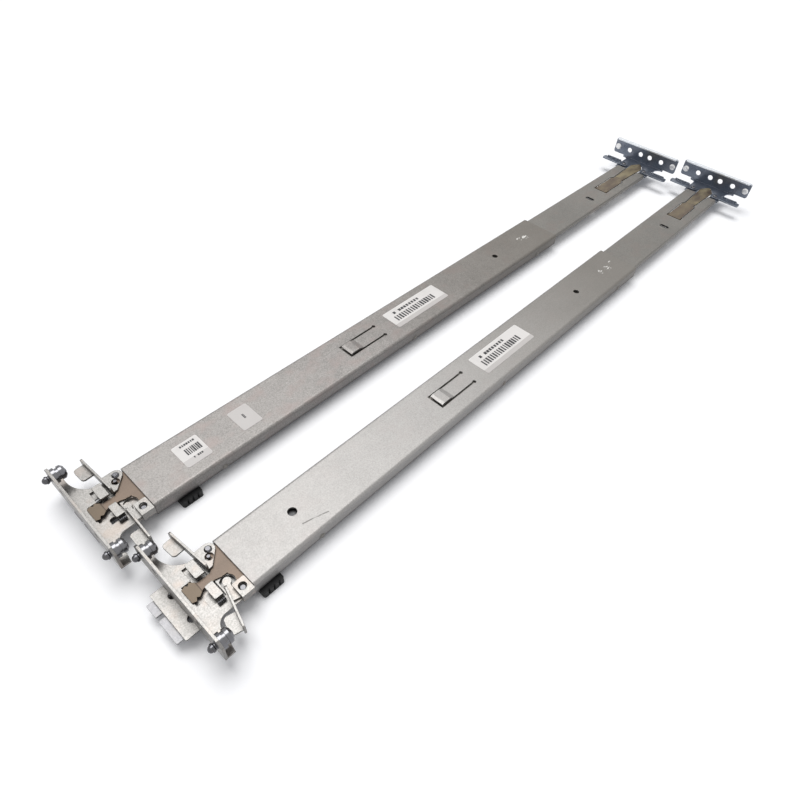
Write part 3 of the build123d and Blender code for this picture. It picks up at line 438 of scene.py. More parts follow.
@dataclass(frozen=True)
class RolledSteel:
    """Zinc-coated sheet: spangle, rolling lines, faint tints, edges painted with highlight and shade and
    partly worn, and marks of use.

    Heights and lengths are in the object's millimetres.
    """

    name: str
    light: Colour
    dark: Colour
    warm: Colour
    roughness: float = 0.48
    metallic: float = 0.58
    spangle: float = 0.10
    grain: float = 0.16
    tint_share: float = 0.5
    # Tone painted on the softened edges: a light tone is partly wear and partly painted highlight, a dark
    # tone is painted shade along the edge.
    edge_wear_highlight_and_shade: Coat = Coat((0.72, 0.72, 0.71), 0.25)
    highlight_lip_from: float | None = None
    skirt_shade_below: float | None = None
    far_shade_from: float | None = None
    scratches: tuple[Scratch, ...] = ()
    scuffs: tuple[Spot, ...] = ()
    hole_shade: tuple[Spot, ...] = ()

    CLOUDS = Pattern(26.0, weight=0.8, detail=6.0)
    CLOUD_GLOSS = 1.6
    TINTS = Pattern(95.0, weight=5.0, detail=3.0, stretch=(1.0, 0.7, 1.0))
    SPECKS = Pattern(1100.0, weight=1.8, detail=3.0)
    LINES = Pattern(60.0, weight=3.0, stretch=(34.0, 1.0, 34.0))
    CRYSTALS = Pattern(330.0, weight=2.2)
    MIDDLE_SHADE = 0.5
    EDGE_RADIUS = 0.4
    RELIEF_DEPTH = 0.03
    RELIEF_SHARE = 0.5

    # Painted highlight, pale and bluish, above a height: the lit top lip of the rear flange.
    LIP_HIGHLIGHT = Coat((0.86, 0.89, 0.92), 0.85)
    # Painted shade that darkens the channels towards their far end, where less light falls.
    FAR_SHADE = Coat((0.13, 0.117, 0.096), 0.68)
    FAR_SHADE_OVER = 260.0
    # Painted shade low on the side walls, darkest towards the bottom.
    SKIRT_SHADE_TONE = (0.05, 0.05, 0.055)
    SKIRT_SHADE_SHARE = 0.15
    LOWER_SKIRT_DROP = 7.0
    LOWER_SKIRT_SHADE_SHARE = 0.5

    SCRATCH = Coat((0.12, 0.115, 0.11), 0.85)
    SCRATCH_BREAKS = Pattern(420.0, detail=5.0, stretch=(1.0, 0.25, 1.0))
    SCRATCH_BROKEN_OVER = 0.47
    SCRATCH_FAINTEST = 0.4
    SCUFF = Coat((0.78, 0.77, 0.74), 0.75)
    SCUFF_RUBS = Pattern(310.0, stretch=(2.2, 0.7, 1.0))
    SCUFF_RUBBED_OVER = 0.56
    # Painted shade, nearly black, at holes and slots.
    HOLE_SHADE = Coat((0.016, 0.014, 0.012))
    HOLE_SHADE_FADE = 1.2

    def build(self) -> bpy.types.Material:
        """Makes the material.

        Returns:
            The material.
        """
        shader = Shader(self.name)
        cloud = shader.noise(self.CLOUDS)
        speck = shader.noise(self.SPECKS)
        lines = shader.noise(self.LINES)
        crystal = shader.cells(self.CRYSTALS.per_metre)
        shade = cloud.swing(self.CLOUDS.weight) + crystal.swing(self.spangle * self.CRYSTALS.weight)
        shade = shade + lines.swing(self.grain * self.LINES.weight) + speck.swing(self.SPECKS.weight)
        colour = shader.mixed((shade + self.MIDDLE_SHADE).clamped(), self.dark, self.light)
        tint = shader.noise(self.TINTS).over(Signal.MIDDLE, self.TINTS.weight)
        colour = shader.mixed(tint * self.tint_share, colour, self.warm)
        soft, edge = shader.edges(self.EDGE_RADIUS)
        # Painted highlight and shade on the edges, partly wear.
        colour = shader.coated(edge, colour, self.edge_wear_highlight_and_shade)
        colour = self._marked(shader, self._painted_light_by_place(shader, colour))
        rough = (crystal - Signal.MIDDLE + cloud.swing(self.CLOUD_GLOSS)) * self.spangle + self.roughness
        relief = speck * self.RELIEF_SHARE + lines * self.RELIEF_SHARE
        normal = shader.bumped(relief, self.RELIEF_DEPTH, soft)
        return shader.finish(Base_Color=colour, Metallic=self.metallic, Roughness=rough, Normal=normal)

    def _painted_light_by_place(self, shader: Shader, colour: bpy.types.NodeSocket) -> bpy.types.NodeSocket:
        """Painted shade and highlight that change along the sheet or with its height.

        Args:
            shader: The shader under construction.
            colour: The sheet's colour.

        Returns:
            The colour's socket, with the painted shade and highlight.
        """
        _, along, height = shader.axes()
        # Painted shade towards the far end.
        if self.far_shade_from is not None:
            far_shade = along.over(self.far_shade_from, 1.0 / self.FAR_SHADE_OVER)
            colour = shader.coated(far_shade, colour, self.FAR_SHADE)
        # Painted highlight on the top lip.
        if self.highlight_lip_from is not None:
            colour = shader.coated(height > self.highlight_lip_from, colour, self.LIP_HIGHLIGHT)
        # Painted shade low on the side walls.
        if self.skirt_shade_below is not None:
            sunk = self.skirt_shade_below - height
            lower_skirt_shade = (sunk - self.LOWER_SKIRT_DROP).clamped() * self.LOWER_SKIRT_SHADE_SHARE
            colour = shader.mixed(sunk.clamped() * self.SKIRT_SHADE_SHARE + lower_skirt_shade, colour, self.SKIRT_SHADE_TONE)
        return colour

    def _marked(self, shader: Shader, colour: bpy.types.NodeSocket) -> bpy.types.NodeSocket:
        """The sheet with its scratches, scuffs and painted shade at holes and slots.

        Args:
            shader: The shader under construction.
            colour: The sheet's colour.

        Returns:
            The marked colour's socket.
        """
        if self.scratches:
            colour = shader.coated(self._scratched(shader), colour, self.SCRATCH)
        if self.scuffs:
            colour = shader.coated(self._scuffed(shader), colour, self.SCUFF)
        # Painted shade at holes and slots.
        if self.hole_shade:
            colour = shader.coated(self._hole_shaded(shader), colour, self.HOLE_SHADE)
        return colour

    def _scratched(self, shader: Shader) -> Signal:
        """Scratches, as thin broken strokes.

        Args:
            shader: The shader under construction.

        Returns:
            A mask that is 1 in a scratch.
        """
        x, y, _ = shader.axes()
        broken = shader.noise(self.SCRATCH_BREAKS) > self.SCRATCH_BROKEN_OVER
        depth = broken * (1.0 - self.SCRATCH_FAINTEST) + self.SCRATCH_FAINTEST
        strokes = []
        for mark in self.scratches:
            along = y - mark.y
            across = abs(x - along * mark.lean - mark.x)
            inside = (across < mark.half_width) * (abs(along) < mark.length / 2)
            strokes.append(inside * depth)
        return either(strokes)

    def _scuffed(self, shader: Shader) -> Signal:
        """Spots that are rubbed bright.

        Args:
            shader: The shader under construction.

        Returns:
            A mask that is 1 where the zinc is rubbed bright.
        """
        x, y, _ = shader.axes()
        rubbed = shader.noise(self.SCUFF_RUBS) > self.SCUFF_RUBBED_OVER
        spots = []
        for spot in self.scuffs:
            across = (x - spot.x) / spot.radius
            along = (y - spot.y) / spot.radius
            spots.append((across * across + along * along < 1.0) * rubbed)
        return either(spots)

    def _hole_shaded(self, shader: Shader) -> Signal:
        """Painted shade: soft dark spots, which lie under the outer channels' holes or round a slot, where
        shade falls.

        Args:
            shader: The shader under construction.

        Returns:
            A mask that is 1 in the middle of each spot.
        """
        x, y, _ = shader.axes()
        spots = []
        for spot in self.hole_shade:
            apart = ((x - spot.x) ** 2.0 + (y - spot.y) ** 2.0) ** 0.5
            spots.append(((spot.radius - apart) / self.HOLE_SHADE_FADE).clamped())
        return either(spots)


@dataclass(frozen=True)
class PlatedPart:
    """Small bright plated steel parts, turned or pressed."""

    name: str
    colour: Colour
    roughness: float = 0.16

    DIRT = Coat((0.16, 0.14, 0.12), 0.35)
    SMEARS = Pattern(500.0, weight=5.0)
    SMEARED_OVER = 0.56
    SMEAR_ROUGHNESS = 0.14
    TOOL_MARKS = Pattern(4200.0, detail=2.0)
    EDGE_RADIUS = 0.2
    RELIEF_DEPTH = 0.01

    def build(self) -> bpy.types.Material:
        """Makes the material.

        Returns:
            The material.
        """
        shader = Shader(self.name)
        smear = shader.noise(self.SMEARS)
        stain = smear.over(self.SMEARED_OVER, self.SMEARS.weight)
        colour = shader.coated(stain, self.colour, self.DIRT)
        rough = smear * self.SMEAR_ROUGHNESS + self.roughness
        soft, _ = shader.edges(self.EDGE_RADIUS)
        normal = shader.bumped(shader.noise(self.TOOL_MARKS), self.RELIEF_DEPTH, soft)
        return shader.finish(Base_Color=colour, Metallic=1.0, Roughness=rough, Normal=normal)


@dataclass(frozen=True)
class TintedPlate:
    """Chromate-tinted latch plates: satin, mottled, with a tone on the edges, and painted shade on a facet
    and along a fold.
    """

    name: str
    light: Colour
    dark: Colour
    # Tone on the edges: on the tan latch light rubbed chromate and painted highlight, on the brown latch
    # painted shade in the gaps round the plate.
    rubbed: Colour
    mottling: float = 1.8
    folds: tuple[Fold, ...] = ()
    # Painted shade on the facet in front of a fold.
    facet_shade_past_fold: Colour = (0.10, 0.08, 0.05)

    ROUGHNESS = 0.44
    CLOUD_ROUGHNESS = 0.2
    METALLIC = 0.55
    CLOUDS = Pattern(120.0, detail=5.0, stretch=(1.0, 0.4, 1.0))
    SPECKS = Pattern(1700.0, weight=0.9, detail=2.0)
    MIDDLE_SHADE = 0.5
    EDGE_RADIUS = 0.35
    EDGE_RUB_AND_SHADE_SHARE = 0.6
    FACET_SHADE_SHARE = 0.5
    # Painted crease shade along a fold.
    FOLD_CREASE_SHADE = Coat((0.05, 0.035, 0.025), 0.8)
    RELIEF_DEPTH = 0.03

    def build(self) -> bpy.types.Material:
        """Makes the material.

        Returns:
            The material.
        """
        shader = Shader(self.name)
        cloud = shader.noise(self.CLOUDS)
        speck = shader.noise(self.SPECKS)
        shade = cloud.swing(self.mottling) + speck.swing(self.SPECKS.weight) + self.MIDDLE_SHADE
        colour = shader.mixed(shade.clamped(), self.dark, self.light)
        soft, edge = shader.edges(self.EDGE_RADIUS)
        # Edge tone, partly rubbing and painted highlight, partly painted shade.
        colour = shader.coated(edge, colour, Coat(self.rubbed, self.EDGE_RUB_AND_SHADE_SHARE))
        across, along, _ = shader.axes()
        # Painted shade on the facet in front of each fold, and dark painted crease shade along the fold.
        past = Coat(self.facet_shade_past_fold, self.FACET_SHADE_SHARE)
        for fold in self.folds:
            plate = abs(across - fold.x) < fold.reach
            colour = shader.coated(plate * (along < fold.y), colour, past)
            line = plate * (abs(along - fold.y) < fold.half_width)
            colour = shader.coated(line, colour, self.FOLD_CREASE_SHADE)
        normal = shader.bumped(speck, self.RELIEF_DEPTH, soft)
        rough = cloud.swing(self.CLOUD_ROUGHNESS) + self.ROUGHNESS
        return shader.finish(Base_Color=colour, Metallic=self.METALLIC, Roughness=rough, Normal=normal)


@dataclass(frozen=True)
class MouldedPlastic:
    """Fine-textured moulded plastic."""

    name: str
    colour: Colour
    worn: Colour

    ROUGHNESS = 0.48
    DUST_ROUGHNESS = 0.12
    REFLECTION = 0.25
    TEXTURE = Pattern(5200.0, detail=3.0)
    DUST = Pattern(260.0, weight=3.0)
    DUST_SHARE = 0.2
    EDGE_RADIUS = 0.4
    EDGE_SHARE = 0.5
    RELIEF_DEPTH = 0.04

    def build(self) -> bpy.types.Material:
        """Makes the material.

        Returns:
            The material.
        """
        shader = Shader(self.name)
        dust = shader.noise(self.DUST).over(Signal.MIDDLE, self.DUST.weight)
        soft, edge = shader.edges(self.EDGE_RADIUS)
        wear = edge * self.EDGE_SHARE + dust * self.DUST_SHARE
        return shader.finish(
            Base_Color=shader.mixed(wear, self.colour, self.worn),
            Metallic=0.0,
            Roughness=dust * self.DUST_ROUGHNESS + self.ROUGHNESS,
            Normal=shader.bumped(shader.noise(self.TEXTURE), self.RELIEF_DEPTH, soft),
            Specular_IOR_Level=self.REFLECTION,
        )


@dataclass(frozen=True)
class StickerPaper:
    """Slightly yellowed paper with fibres and rubbed spots, and hazy film at its margin.

    In the rail's own millimetres, film_from is where the film begins across the stickers, and
    film_sticker gives the front and back ends of the left rail's sticker that is film only.
    """

    name: str
    colour: Colour
    shadow: Colour
    film: Colour
    film_from: float = 5.0
    film_sticker: tuple[float, float] = (112.575, 132.575)

    ROUGHNESS = 0.55
    FILM_ROUGHNESS = -0.25
    FIBRES = Pattern(2600.0, weight=0.18, detail=3.0, stretch=(1.0, 0.6, 1.0))
    SMEARS = Pattern(90.0, weight=2.6, detail=5.0)
    SMEARED_OVER = 0.48
    SMEAR_SHARE = 0.5
    PAPER_THROUGH_FILM = 0.4
    RELIEF_DEPTH = 0.02

    def build(self) -> bpy.types.Material:
        """Makes the material.

        Returns:
            The material.
        """
        shader = Shader(self.name)
        fibre = shader.noise(self.FIBRES)
        smear = shader.noise(self.SMEARS).over(self.SMEARED_OVER, self.SMEARS.weight)
        shade = smear * self.SMEAR_SHARE + fibre * self.FIBRES.weight
        colour = shader.mixed(shade.clamped(), self.colour, self.shadow)
        film = self._filmed(shader)
        colour = shader.mixed(film * (1.0 - shade * self.PAPER_THROUGH_FILM), colour, self.film)
        flat = shader.node("ShaderNodeNewGeometry", {}, {}).outputs["Normal"]
        normal = shader.bumped(fibre, self.RELIEF_DEPTH, flat)
        rough = film * self.FILM_ROUGHNESS + self.ROUGHNESS
        return shader.finish(Base_Color=colour, Roughness=rough, Normal=normal)

    def _filmed(self, shader: Shader) -> Signal:
        """The margin beside each paper, and the sticker that is film only.

        Args:
            shader: The shader under construction.

        Returns:
            A mask that is 1 on the film.
        """
        x, y, _ = shader.axes()
        left_edge, right_edge = (rail.x + self.film_from for rail in RAIL_PLACES)
        front, back = (LEFT_RAIL.y + end for end in self.film_sticker)
        on_left_rail = x < 0.0
        margin = (x > right_edge) + (x > left_edge) * on_left_rail
        alone = (y > front) * (y < back) * on_left_rail
        return (margin + alone).clamped()


@dataclass(frozen=True)
class PrintInk:
    """Thermal print on a sticker."""

    name: str
    colour: Colour

    ROUGHNESS = 0.6
    FADING = Pattern(900.0, weight=2.0, detail=3.0)
    FADED = Coat((0.20, 0.19, 0.19), 0.4)

    def build(self) -> bpy.types.Material:
        """Makes the material.

        Returns:
            The material.
        """
        shader = Shader(self.name)
        fade = shader.noise(self.FADING).over(Signal.MIDDLE, self.FADING.weight)
        colour = shader.coated(fade, self.colour, self.FADED)
        return shader.finish(Base_Color=colour, Roughness=self.ROUGHNESS)


# Painted shade on the rear channel where it is seen through the outer channels' far holes and round its rear
# slots.
SHADE_UNDER_FAR_HOLES = (
    Spot(-1.95, 437.175, radius=8.5).on(LEFT_RAIL),
    Spot(-1.35, 437.525, radius=8.5).on(RIGHT_RAIL),
)
SHADE_ROUND_REAR_SLOTS = tuple(
    Spot(x, 617.0, radius=3.3).on(rail) for rail in RAIL_PLACES for x in (0.4, 3.0, 5.6)
)
# The dark edge tone on the channels is painted shade along their rolled edges.
EDGE_SHADE_SHARE = 0.7

RECIPES: dict[str, Finish] = {
    # The left channel is given darker tones than the right one, partly as painted shade for the weaker light
    # that falls on the left rail.
    "channel_left": RolledSteel(
        "galvanised_channel",
        light=(0.345, 0.327, 0.312), dark=(0.170, 0.162, 0.154), warm=(0.28, 0.230, 0.215),
        edge_wear_highlight_and_shade=Coat((0.10, 0.10, 0.10), EDGE_SHADE_SHARE),
        # Painted shade low on the channel's side walls.
        skirt_shade_below=15.6,
        # Painted shade towards the channel's far end.
        far_shade_from=-150.0,
        scuffs=(
            Spot(0.25, 487.175, radius=4.0).on(LEFT_RAIL),
            Spot(-1.85, 479.075, radius=3.0).on(LEFT_RAIL),
        ),
    ),
    "channel_right": RolledSteel(
        "galvanised_channel_scratched",
        light=(0.400, 0.387, 0.374), dark=(0.283, 0.274, 0.264), warm=(0.365, 0.326, 0.313),
        spangle=0.04,
        tint_share=0.2,
        edge_wear_highlight_and_shade=Coat((0.12, 0.12, 0.12), EDGE_SHADE_SHARE),
        # Painted shade low on the channel's side walls.
        skirt_shade_below=15.6,
        # Painted shade towards the channel's far end.
        far_shade_from=-150.0,
        scratches=(
            Scratch(11.65, 89.025, length=8.0, lean=0.28).on(RIGHT_RAIL),
            Scratch(13.65, 96.325, length=8.0, lean=0.30).on(RIGHT_RAIL),
            Scratch(10.45, 84.125, length=5.0, lean=0.25).on(RIGHT_RAIL),
        ),
        scuffs=(
            Spot(1.05, 492.125, radius=4.0).on(RIGHT_RAIL),
            Spot(-0.45, 482.825, radius=3.5).on(RIGHT_RAIL),
            Spot(-2.25, 504.025, radius=2.5).on(RIGHT_RAIL),
        ),
    ),
    "rear_steel": RolledSteel(
        "galvanised_rear",
        light=(0.235, 0.223, 0.204), dark=(0.148, 0.142, 0.130), warm=(0.204, 0.173, 0.155),
        hole_shade=SHADE_UNDER_FAR_HOLES + SHADE_ROUND_REAR_SLOTS,
    ),
    "slide_steel": RolledSteel(
        "zinc_slide",
        light=(0.24, 0.237, 0.232), dark=(0.14, 0.138, 0.135), warm=(0.20, 0.18, 0.17),
        roughness=0.40, metallic=0.8, spangle=0.05, grain=0.22,
    ),
    # The race is painted nearly black as shade, since it lies deep inside the rails.
    "shaded_race_steel": RolledSteel(
        "race_painted_shade",
        light=(0.07, 0.07, 0.072), dark=(0.03, 0.03, 0.031), warm=(0.05, 0.048, 0.045),
        roughness=0.36, metallic=0.8, spangle=0.02, grain=0.2,
    ),
    "guide_steel": RolledSteel(
        "bright_guide",
        light=(0.37, 0.365, 0.375), dark=(0.235, 0.235, 0.245), warm=(0.30, 0.29, 0.285),
        roughness=0.46, metallic=0.6, spangle=0.04, grain=0.2,
    ),
    "bracket_steel": RolledSteel(
        "zinc_bracket",
        light=(0.325, 0.314, 0.300), dark=(0.171, 0.166, 0.158), warm=(0.30, 0.25, 0.215),
        roughness=0.38, metallic=0.8, spangle=0.05, grain=0.12,
        # Dark painted shade as outlines along the bracket's edges.
        edge_wear_highlight_and_shade=Coat((0.09, 0.085, 0.08), 0.5),
    ),
    "rear_bracket_steel": RolledSteel(
        "blue_zinc",
        light=(0.225, 0.253, 0.302), dark=(0.119, 0.137, 0.172), warm=(0.25, 0.25, 0.28),
        roughness=0.30, metallic=0.85, spangle=0.02, grain=0.10,
        # Painted highlight on the rear flange's top lip.
        highlight_lip_from=31.9,
    ),
    "latch_tan": TintedPlate(
        "tan_latch",
        light=(0.185, 0.138, 0.106), dark=(0.102, 0.077, 0.059), rubbed=(0.40, 0.33, 0.27),
        folds=(Fold(0.0, 10.475).on(LEFT_RAIL), Fold(0.0, 10.525).on(RIGHT_RAIL)),
    ),
    "latch_brown": TintedPlate(
        "brown_latch",
        # The dark edge tone is painted shade in the gaps round the plate.
        light=(0.24, 0.20, 0.12), dark=(0.085, 0.060, 0.042), rubbed=(0.03, 0.024, 0.018),
        mottling=3.6,
        folds=(Fold(0.0, 690.575).on(LEFT_RAIL), Fold(0.0, 689.625).on(RIGHT_RAIL)),
        facet_shade_past_fold=(0.13, 0.095, 0.065),
    ),
    "bright_steel": PlatedPart("bright_plating", (0.175, 0.175, 0.185), roughness=0.14),
    "stud_steel": PlatedPart("polished_studs", (0.80, 0.80, 0.80), roughness=0.3),
    "pin_steel": PlatedPart("dark_plating", (0.105, 0.105, 0.112)),
    "black_plastic": MouldedPlastic(
        "black_moulding", colour=(0.003, 0.003, 0.0035), worn=(0.014, 0.014, 0.015)
    ),
    "glide_plastic": MouldedPlastic("glide_moulding", colour=(0.55, 0.53, 0.50), worn=(0.66, 0.65, 0.62)),
    "label_paper": StickerPaper(
        "sticker_paper", colour=(0.79, 0.765, 0.74), shadow=(0.57, 0.54, 0.515), film=(0.56, 0.53, 0.51)
    ),
    "label_ink": PrintInk("sticker_ink", (0.02, 0.02, 0.022)),
}


@dataclass
class Finishes:
    """Every finish of the rails, by the name that the pieces know it by."""

    made: dict[str, bpy.types.Material] = field(default_factory=dict)

    def build(self) -> None:
        """Makes all the materials."""
        for name, recipe in RECIPES.items():
            self.made[name] = recipe.build()

    def dress(self, piece: bpy.types.Object, name: str) -> None:
        """Gives a piece one finish.

        Args:
            piece: The piece.
            name: The finish's name.
        """
        piece.data.materials.clear()
        piece.data.materials.append(self.made[name])


@dataclass
class RailParts:
    """The pieces of one rail, which keep the frame's own shapes."""

    hand: Hand
    finishes: Finishes
    finish_names: dict[str, str] = field(default_factory=lambda: {
        "front_bracket": "bracket_steel",
        "front_latch": "latch_tan",
        "front_upper_arm": "bracket_steel",
        "front_lower_arm": "bracket_steel",
        "front_rivets": "pin_steel",
        "arm_spring": "bright_steel",
        "pin_barrels": "bright_steel",
        "front_upper_pin": "pin_steel",
        "front_lower_pin": "pin_steel",
        "upper_pin_spring": "bright_steel",
        "lower_pin_spring": "bright_steel",
        "labels": "label_paper",
        "slide_race": "shaded_race_steel",
        "race_spacers": "rear_steel",
        "slide_member": "slide_steel",
        "slide_nose": "bracket_steel",
        "slide_guide": "guide_steel",
        "slide_rivets": "bracket_steel",
        "release_block": "black_plastic",
        "ball_cage": "slide_steel",
        "bearing_balls": "bright_steel",
        "rear_channel": "rear_steel",
        "glide_pads": "glide_plastic",
        "rear_bracket": "rear_bracket_steel",
        "rear_studs": "stud_steel",
        "rear_rivets": "bright_steel",
        "rear_latch": "latch_brown",
        "rear_upper_arm": "rear_bracket_steel",
        "rear_lower_arm": "rear_bracket_steel",
    })

    def build(self, nodes: dict[str, bpy.types.Object]) -> None:
        """Dresses every node of this rail.

        Args:
            nodes: The frame's nodes by name.
        """
        side = self.hand.value
        for part, finish in {"front_channel": f"channel_{side}", **self.finish_names}.items():
            self.finishes.dress(nodes[f"{side}_{part}"], finish)
            LOG.info("dressed %s_%s", side, part)


@dataclass(frozen=True)
class PhotoCamera:
    """A camera at the photograph's viewing point, with its angles in degrees."""

    place: PerAxis = (0.2267, -0.4114, 0.3630)
    pitch: float = 47.298
    yaw: float = -39.405
    roll: float = 5.03
    lens: float = 27.12
    sensor_width: float = 36.0

    def build(self) -> None:
        """Makes the camera and gives it to the scene."""
        data = bpy.data.cameras.new("photo_camera")
        data.lens = self.lens
        data.sensor_width = self.sensor_width
        camera = bpy.data.objects.new("photo_camera", data)
        camera.matrix_world = Matrix.Translation(Vector(self.place)) @ self._turn()
        bpy.context.scene.collection.objects.link(camera)
        bpy.context.scene.camera = camera

    def _turn(self) -> Matrix:
        """The camera's rotation.

        Returns:
            The rotation as a 4 by 4 matrix.
        """
        pitch, yaw, roll = (math.radians(angle) for angle in (self.pitch, self.yaw, self.roll))
        ahead = Vector((math.sin(yaw) * math.cos(pitch), math.cos(yaw) * math.cos(pitch), -math.sin(pitch)))
        level_right = Vector((math.cos(yaw), -math.sin(yaw), 0.0))
        level_up = level_right.cross(ahead)
        right = level_right * math.cos(roll) + level_up * math.sin(roll)
        above = level_up * math.cos(roll) - level_right * math.sin(roll)
        return Matrix((right, above, -ahead)).transposed().to_4x4()


@dataclass(frozen=True)
class Studio:
    """A pale floor, a surround that is bright overhead, and one broad lamp behind the rails.

    Lengths are in metres. The sky gives the surround's tones by their height, from the
    horizon at 0 to straight overhead at 1.
    """

    floor_half: float = 30.0
    floor_colour: Colour = (0.93, 0.93, 0.94)
    floor_lift: float = 0.12
    cover_height: float = 0.03
    cover_samples: int = 8
    covered_below: float = 0.1
    cover_slope: float = 3.0
    lamp_from: PerAxis = (-0.30, 0.12, 0.95)
    lamp_strength: float = 1.95
    lamp_spread: float = 40.0
    sky: tuple[tuple[float, Colour], ...] = (
        (0.0, (0.06, 0.07, 0.10)),
        (0.35, (0.11, 0.12, 0.15)),
        (0.62, (0.34, 0.35, 0.37)),
        (0.88, (0.66, 0.66, 0.66)),
    )

    def build(self) -> None:
        """Makes the floor, the surround and the lamp."""
        self._floor()
        self._surround()
        self._lamp()

    def _floor(self) -> None:
        """The floor, which shows white and keeps the rails' shadow."""
        half = self.floor_half
        mesh = bpy.data.meshes.new("floor")
        outline = [(-half, -half, 0.0), (half, -half, 0.0), (half, half, 0.0), (-half, half, 0.0)]
        mesh.from_pydata(outline, [], [(0, 1, 2, 3)])
        floor = bpy.data.objects.new("floor", mesh)
        bpy.context.scene.collection.objects.link(floor)
        mesh.materials.append(self._floor_white())

    def _floor_white(self) -> bpy.types.Material:
        """The floor's finish, whose own light fades out where something lies close above it, which paints
        shade under and beside the rails.

        Returns:
            The material.
        """
        shader = Shader("floor_white")
        settings = {"samples": self.cover_samples}
        # Painted shade: the floor's glow is taken away under and close beside the rails.
        nearby = shader.node("ShaderNodeAmbientOcclusion", settings, {"Distance": self.cover_height})
        open_floor = Signal(shader, nearby.outputs["AO"]).over(self.covered_below, self.cover_slope)
        strength = shader.shown() * open_floor * self.floor_lift
        matt = shader.node("ShaderNodeBsdfDiffuse", {}, {"Color": self.floor_colour})
        lift = shader.node("ShaderNodeEmission", {}, {"Color": WHITE, "Strength": strength})
        total = shader.node("ShaderNodeAddShader", {}, {0: matt.outputs[0], 1: lift.outputs[0]})
        shader.node("ShaderNodeOutputMaterial", {}, {0: total.outputs[0]})
        return shader.material

    def _surround(self) -> None:
        """A sky that lights from overhead, and shows white to the camera and in reflections."""
        world = bpy.data.worlds.new("studio_surround")
        world.use_nodes = True
        bpy.context.scene.world = world
        graph = Graph(world.node_tree)
        place = graph.node("ShaderNodeTexCoord", {}, {})
        parts = graph.node("ShaderNodeSeparateXYZ", {}, {0: place.outputs["Generated"]})
        ramp = graph.node("ShaderNodeValToRGB", {}, {0: parts.outputs["Z"]})
        stops = ramp.color_ramp.elements
        while len(stops) < len(self.sky):
            stops.new(1.0)
        for stop, (position, colour) in zip(stops, self.sky):
            stop.position = position
            stop.color = (*colour, OPAQUE)
        tone = graph.mixed(graph.shown(), ramp.outputs[0], WHITE)
        light = graph.node("ShaderNodeBackground", {}, {"Color": tone})
        graph.node("ShaderNodeOutputWorld", {}, {0: light.outputs[0]})

    def _lamp(self) -> None:
        """The broad lamp, as far away as daylight, so that it lights the floor evenly."""
        data = bpy.data.lights.new("window_light", "SUN")
        data.energy = self.lamp_strength
        data.angle = math.radians(self.lamp_spread)
        lamp = bpy.data.objects.new("window_light", data)
        lamp.rotation_mode = "QUATERNION"
        lamp.rotation_quaternion = Vector(self.lamp_from).to_track_quat("Z", "Y")
        bpy.context.scene.collection.objects.link(lamp)


class BarTree(Graph):
    """A geometry tree that lays a row of thin printed bars of uneven width."""

    SOCKETS = (
        ("Start", "NodeSocketVector"),
        ("Step", "NodeSocketVector"),
        ("Count", "NodeSocketInt"),
        ("Bar", "NodeSocketVector"),
        ("Thinnest", "NodeSocketVector"),
        ("Gaps", "NodeSocketFloat"),
        ("Seed", "NodeSocketInt"),
        ("Ink", "NodeSocketMaterial"),
    )
    RANDOM_VECTOR = 0
    RANDOM_BOOLEAN = 3
    WHOLE_BAR = (1.0, 1.0, 1.0)

    def __init__(self) -> None:
        """Builds the tree."""
        super().__init__(bpy.data.node_groups.new("printed_bars", "GeometryNodeTree"))
        self.keys: dict[str, str] = {}
        for name, kind in self.SOCKETS:
            socket = self.tree.interface.new_socket(name, in_out="INPUT", socket_type=kind)
            self.keys[name] = socket.identifier
        self.tree.interface.new_socket("Bars", in_out="OUTPUT", socket_type="NodeSocketGeometry")
        given = self.node("NodeGroupInput", {}, {}).outputs
        line = {"Count": given["Count"], "Start Location": given["Start"], "Offset": given["Step"]}
        row = self.node("GeometryNodeMeshLine", {"mode": "OFFSET"}, line).outputs[0]
        chance = {"Probability": given["Gaps"], "Seed": given["Seed"]}
        missing = self._random("BOOLEAN", chance, self.RANDOM_BOOLEAN)
        kept = self._made("GeometryNodeDeleteGeometry", {"Geometry": row, "Selection": missing})
        bar = self._made("GeometryNodeMeshCube", {"Size": given["Bar"]})
        spread = {0: given["Thinnest"], 1: self.WHOLE_BAR, "Seed": given["Seed"]}
        scale = self._random("FLOAT_VECTOR", spread, self.RANDOM_VECTOR)
        placing = {"Points": kept, "Instance": bar, "Scale": scale}
        placed = self._made("GeometryNodeInstanceOnPoints", placing)
        real = self._made("GeometryNodeRealizeInstances", {"Geometry": placed})
        inked = self._made("GeometryNodeSetMaterial", {"Geometry": real, "Material": given["Ink"]})
        self.node("NodeGroupOutput", {}, {0: inked})

    def _made(self, kind: str, inputs: dict[int | str, Any]) -> bpy.types.NodeSocket:
        """The first output of a new node that needs no settings."""
        return self.node(kind, {}, inputs).outputs[0]

    def _random(self, kind: str, inputs: dict[int | str, Any], output: int) -> bpy.types.NodeSocket:
        """The output of a new Random Value node for this kind of value."""
        return self.node("FunctionNodeRandomValue", {"data_type": kind}, inputs).outputs[output]

    def lay(self, name: str, values: dict[str, Any]) -> bpy.types.Object:
        """Lays one row of bars as a plain mesh.

        Args:
            name: The new object's name.
            values: The tree's inputs by name.

        Returns:
            The row of bars.
        """
        carrier = bpy.data.objects.new(name + "_tree", bpy.data.meshes.new(name + "_tree"))
        bpy.context.scene.collection.objects.link(carrier)
        modifier = carrier.modifiers.new("bars", "NODES")
        modifier.node_group = self.tree
        for key, value in values.items():
            modifier[self.keys[key]] = value
        bpy.context.view_layer.update()
        laid = carrier.evaluated_get(bpy.context.evaluated_depsgraph_get())
        mesh = bpy.data.meshes.new_from_object(laid)
        mesh.name = name
        bpy.data.objects.remove(carrier)
        row = bpy.data.objects.new(name, mesh)
        bpy.context.scene.collection.objects.link(row)
        return row


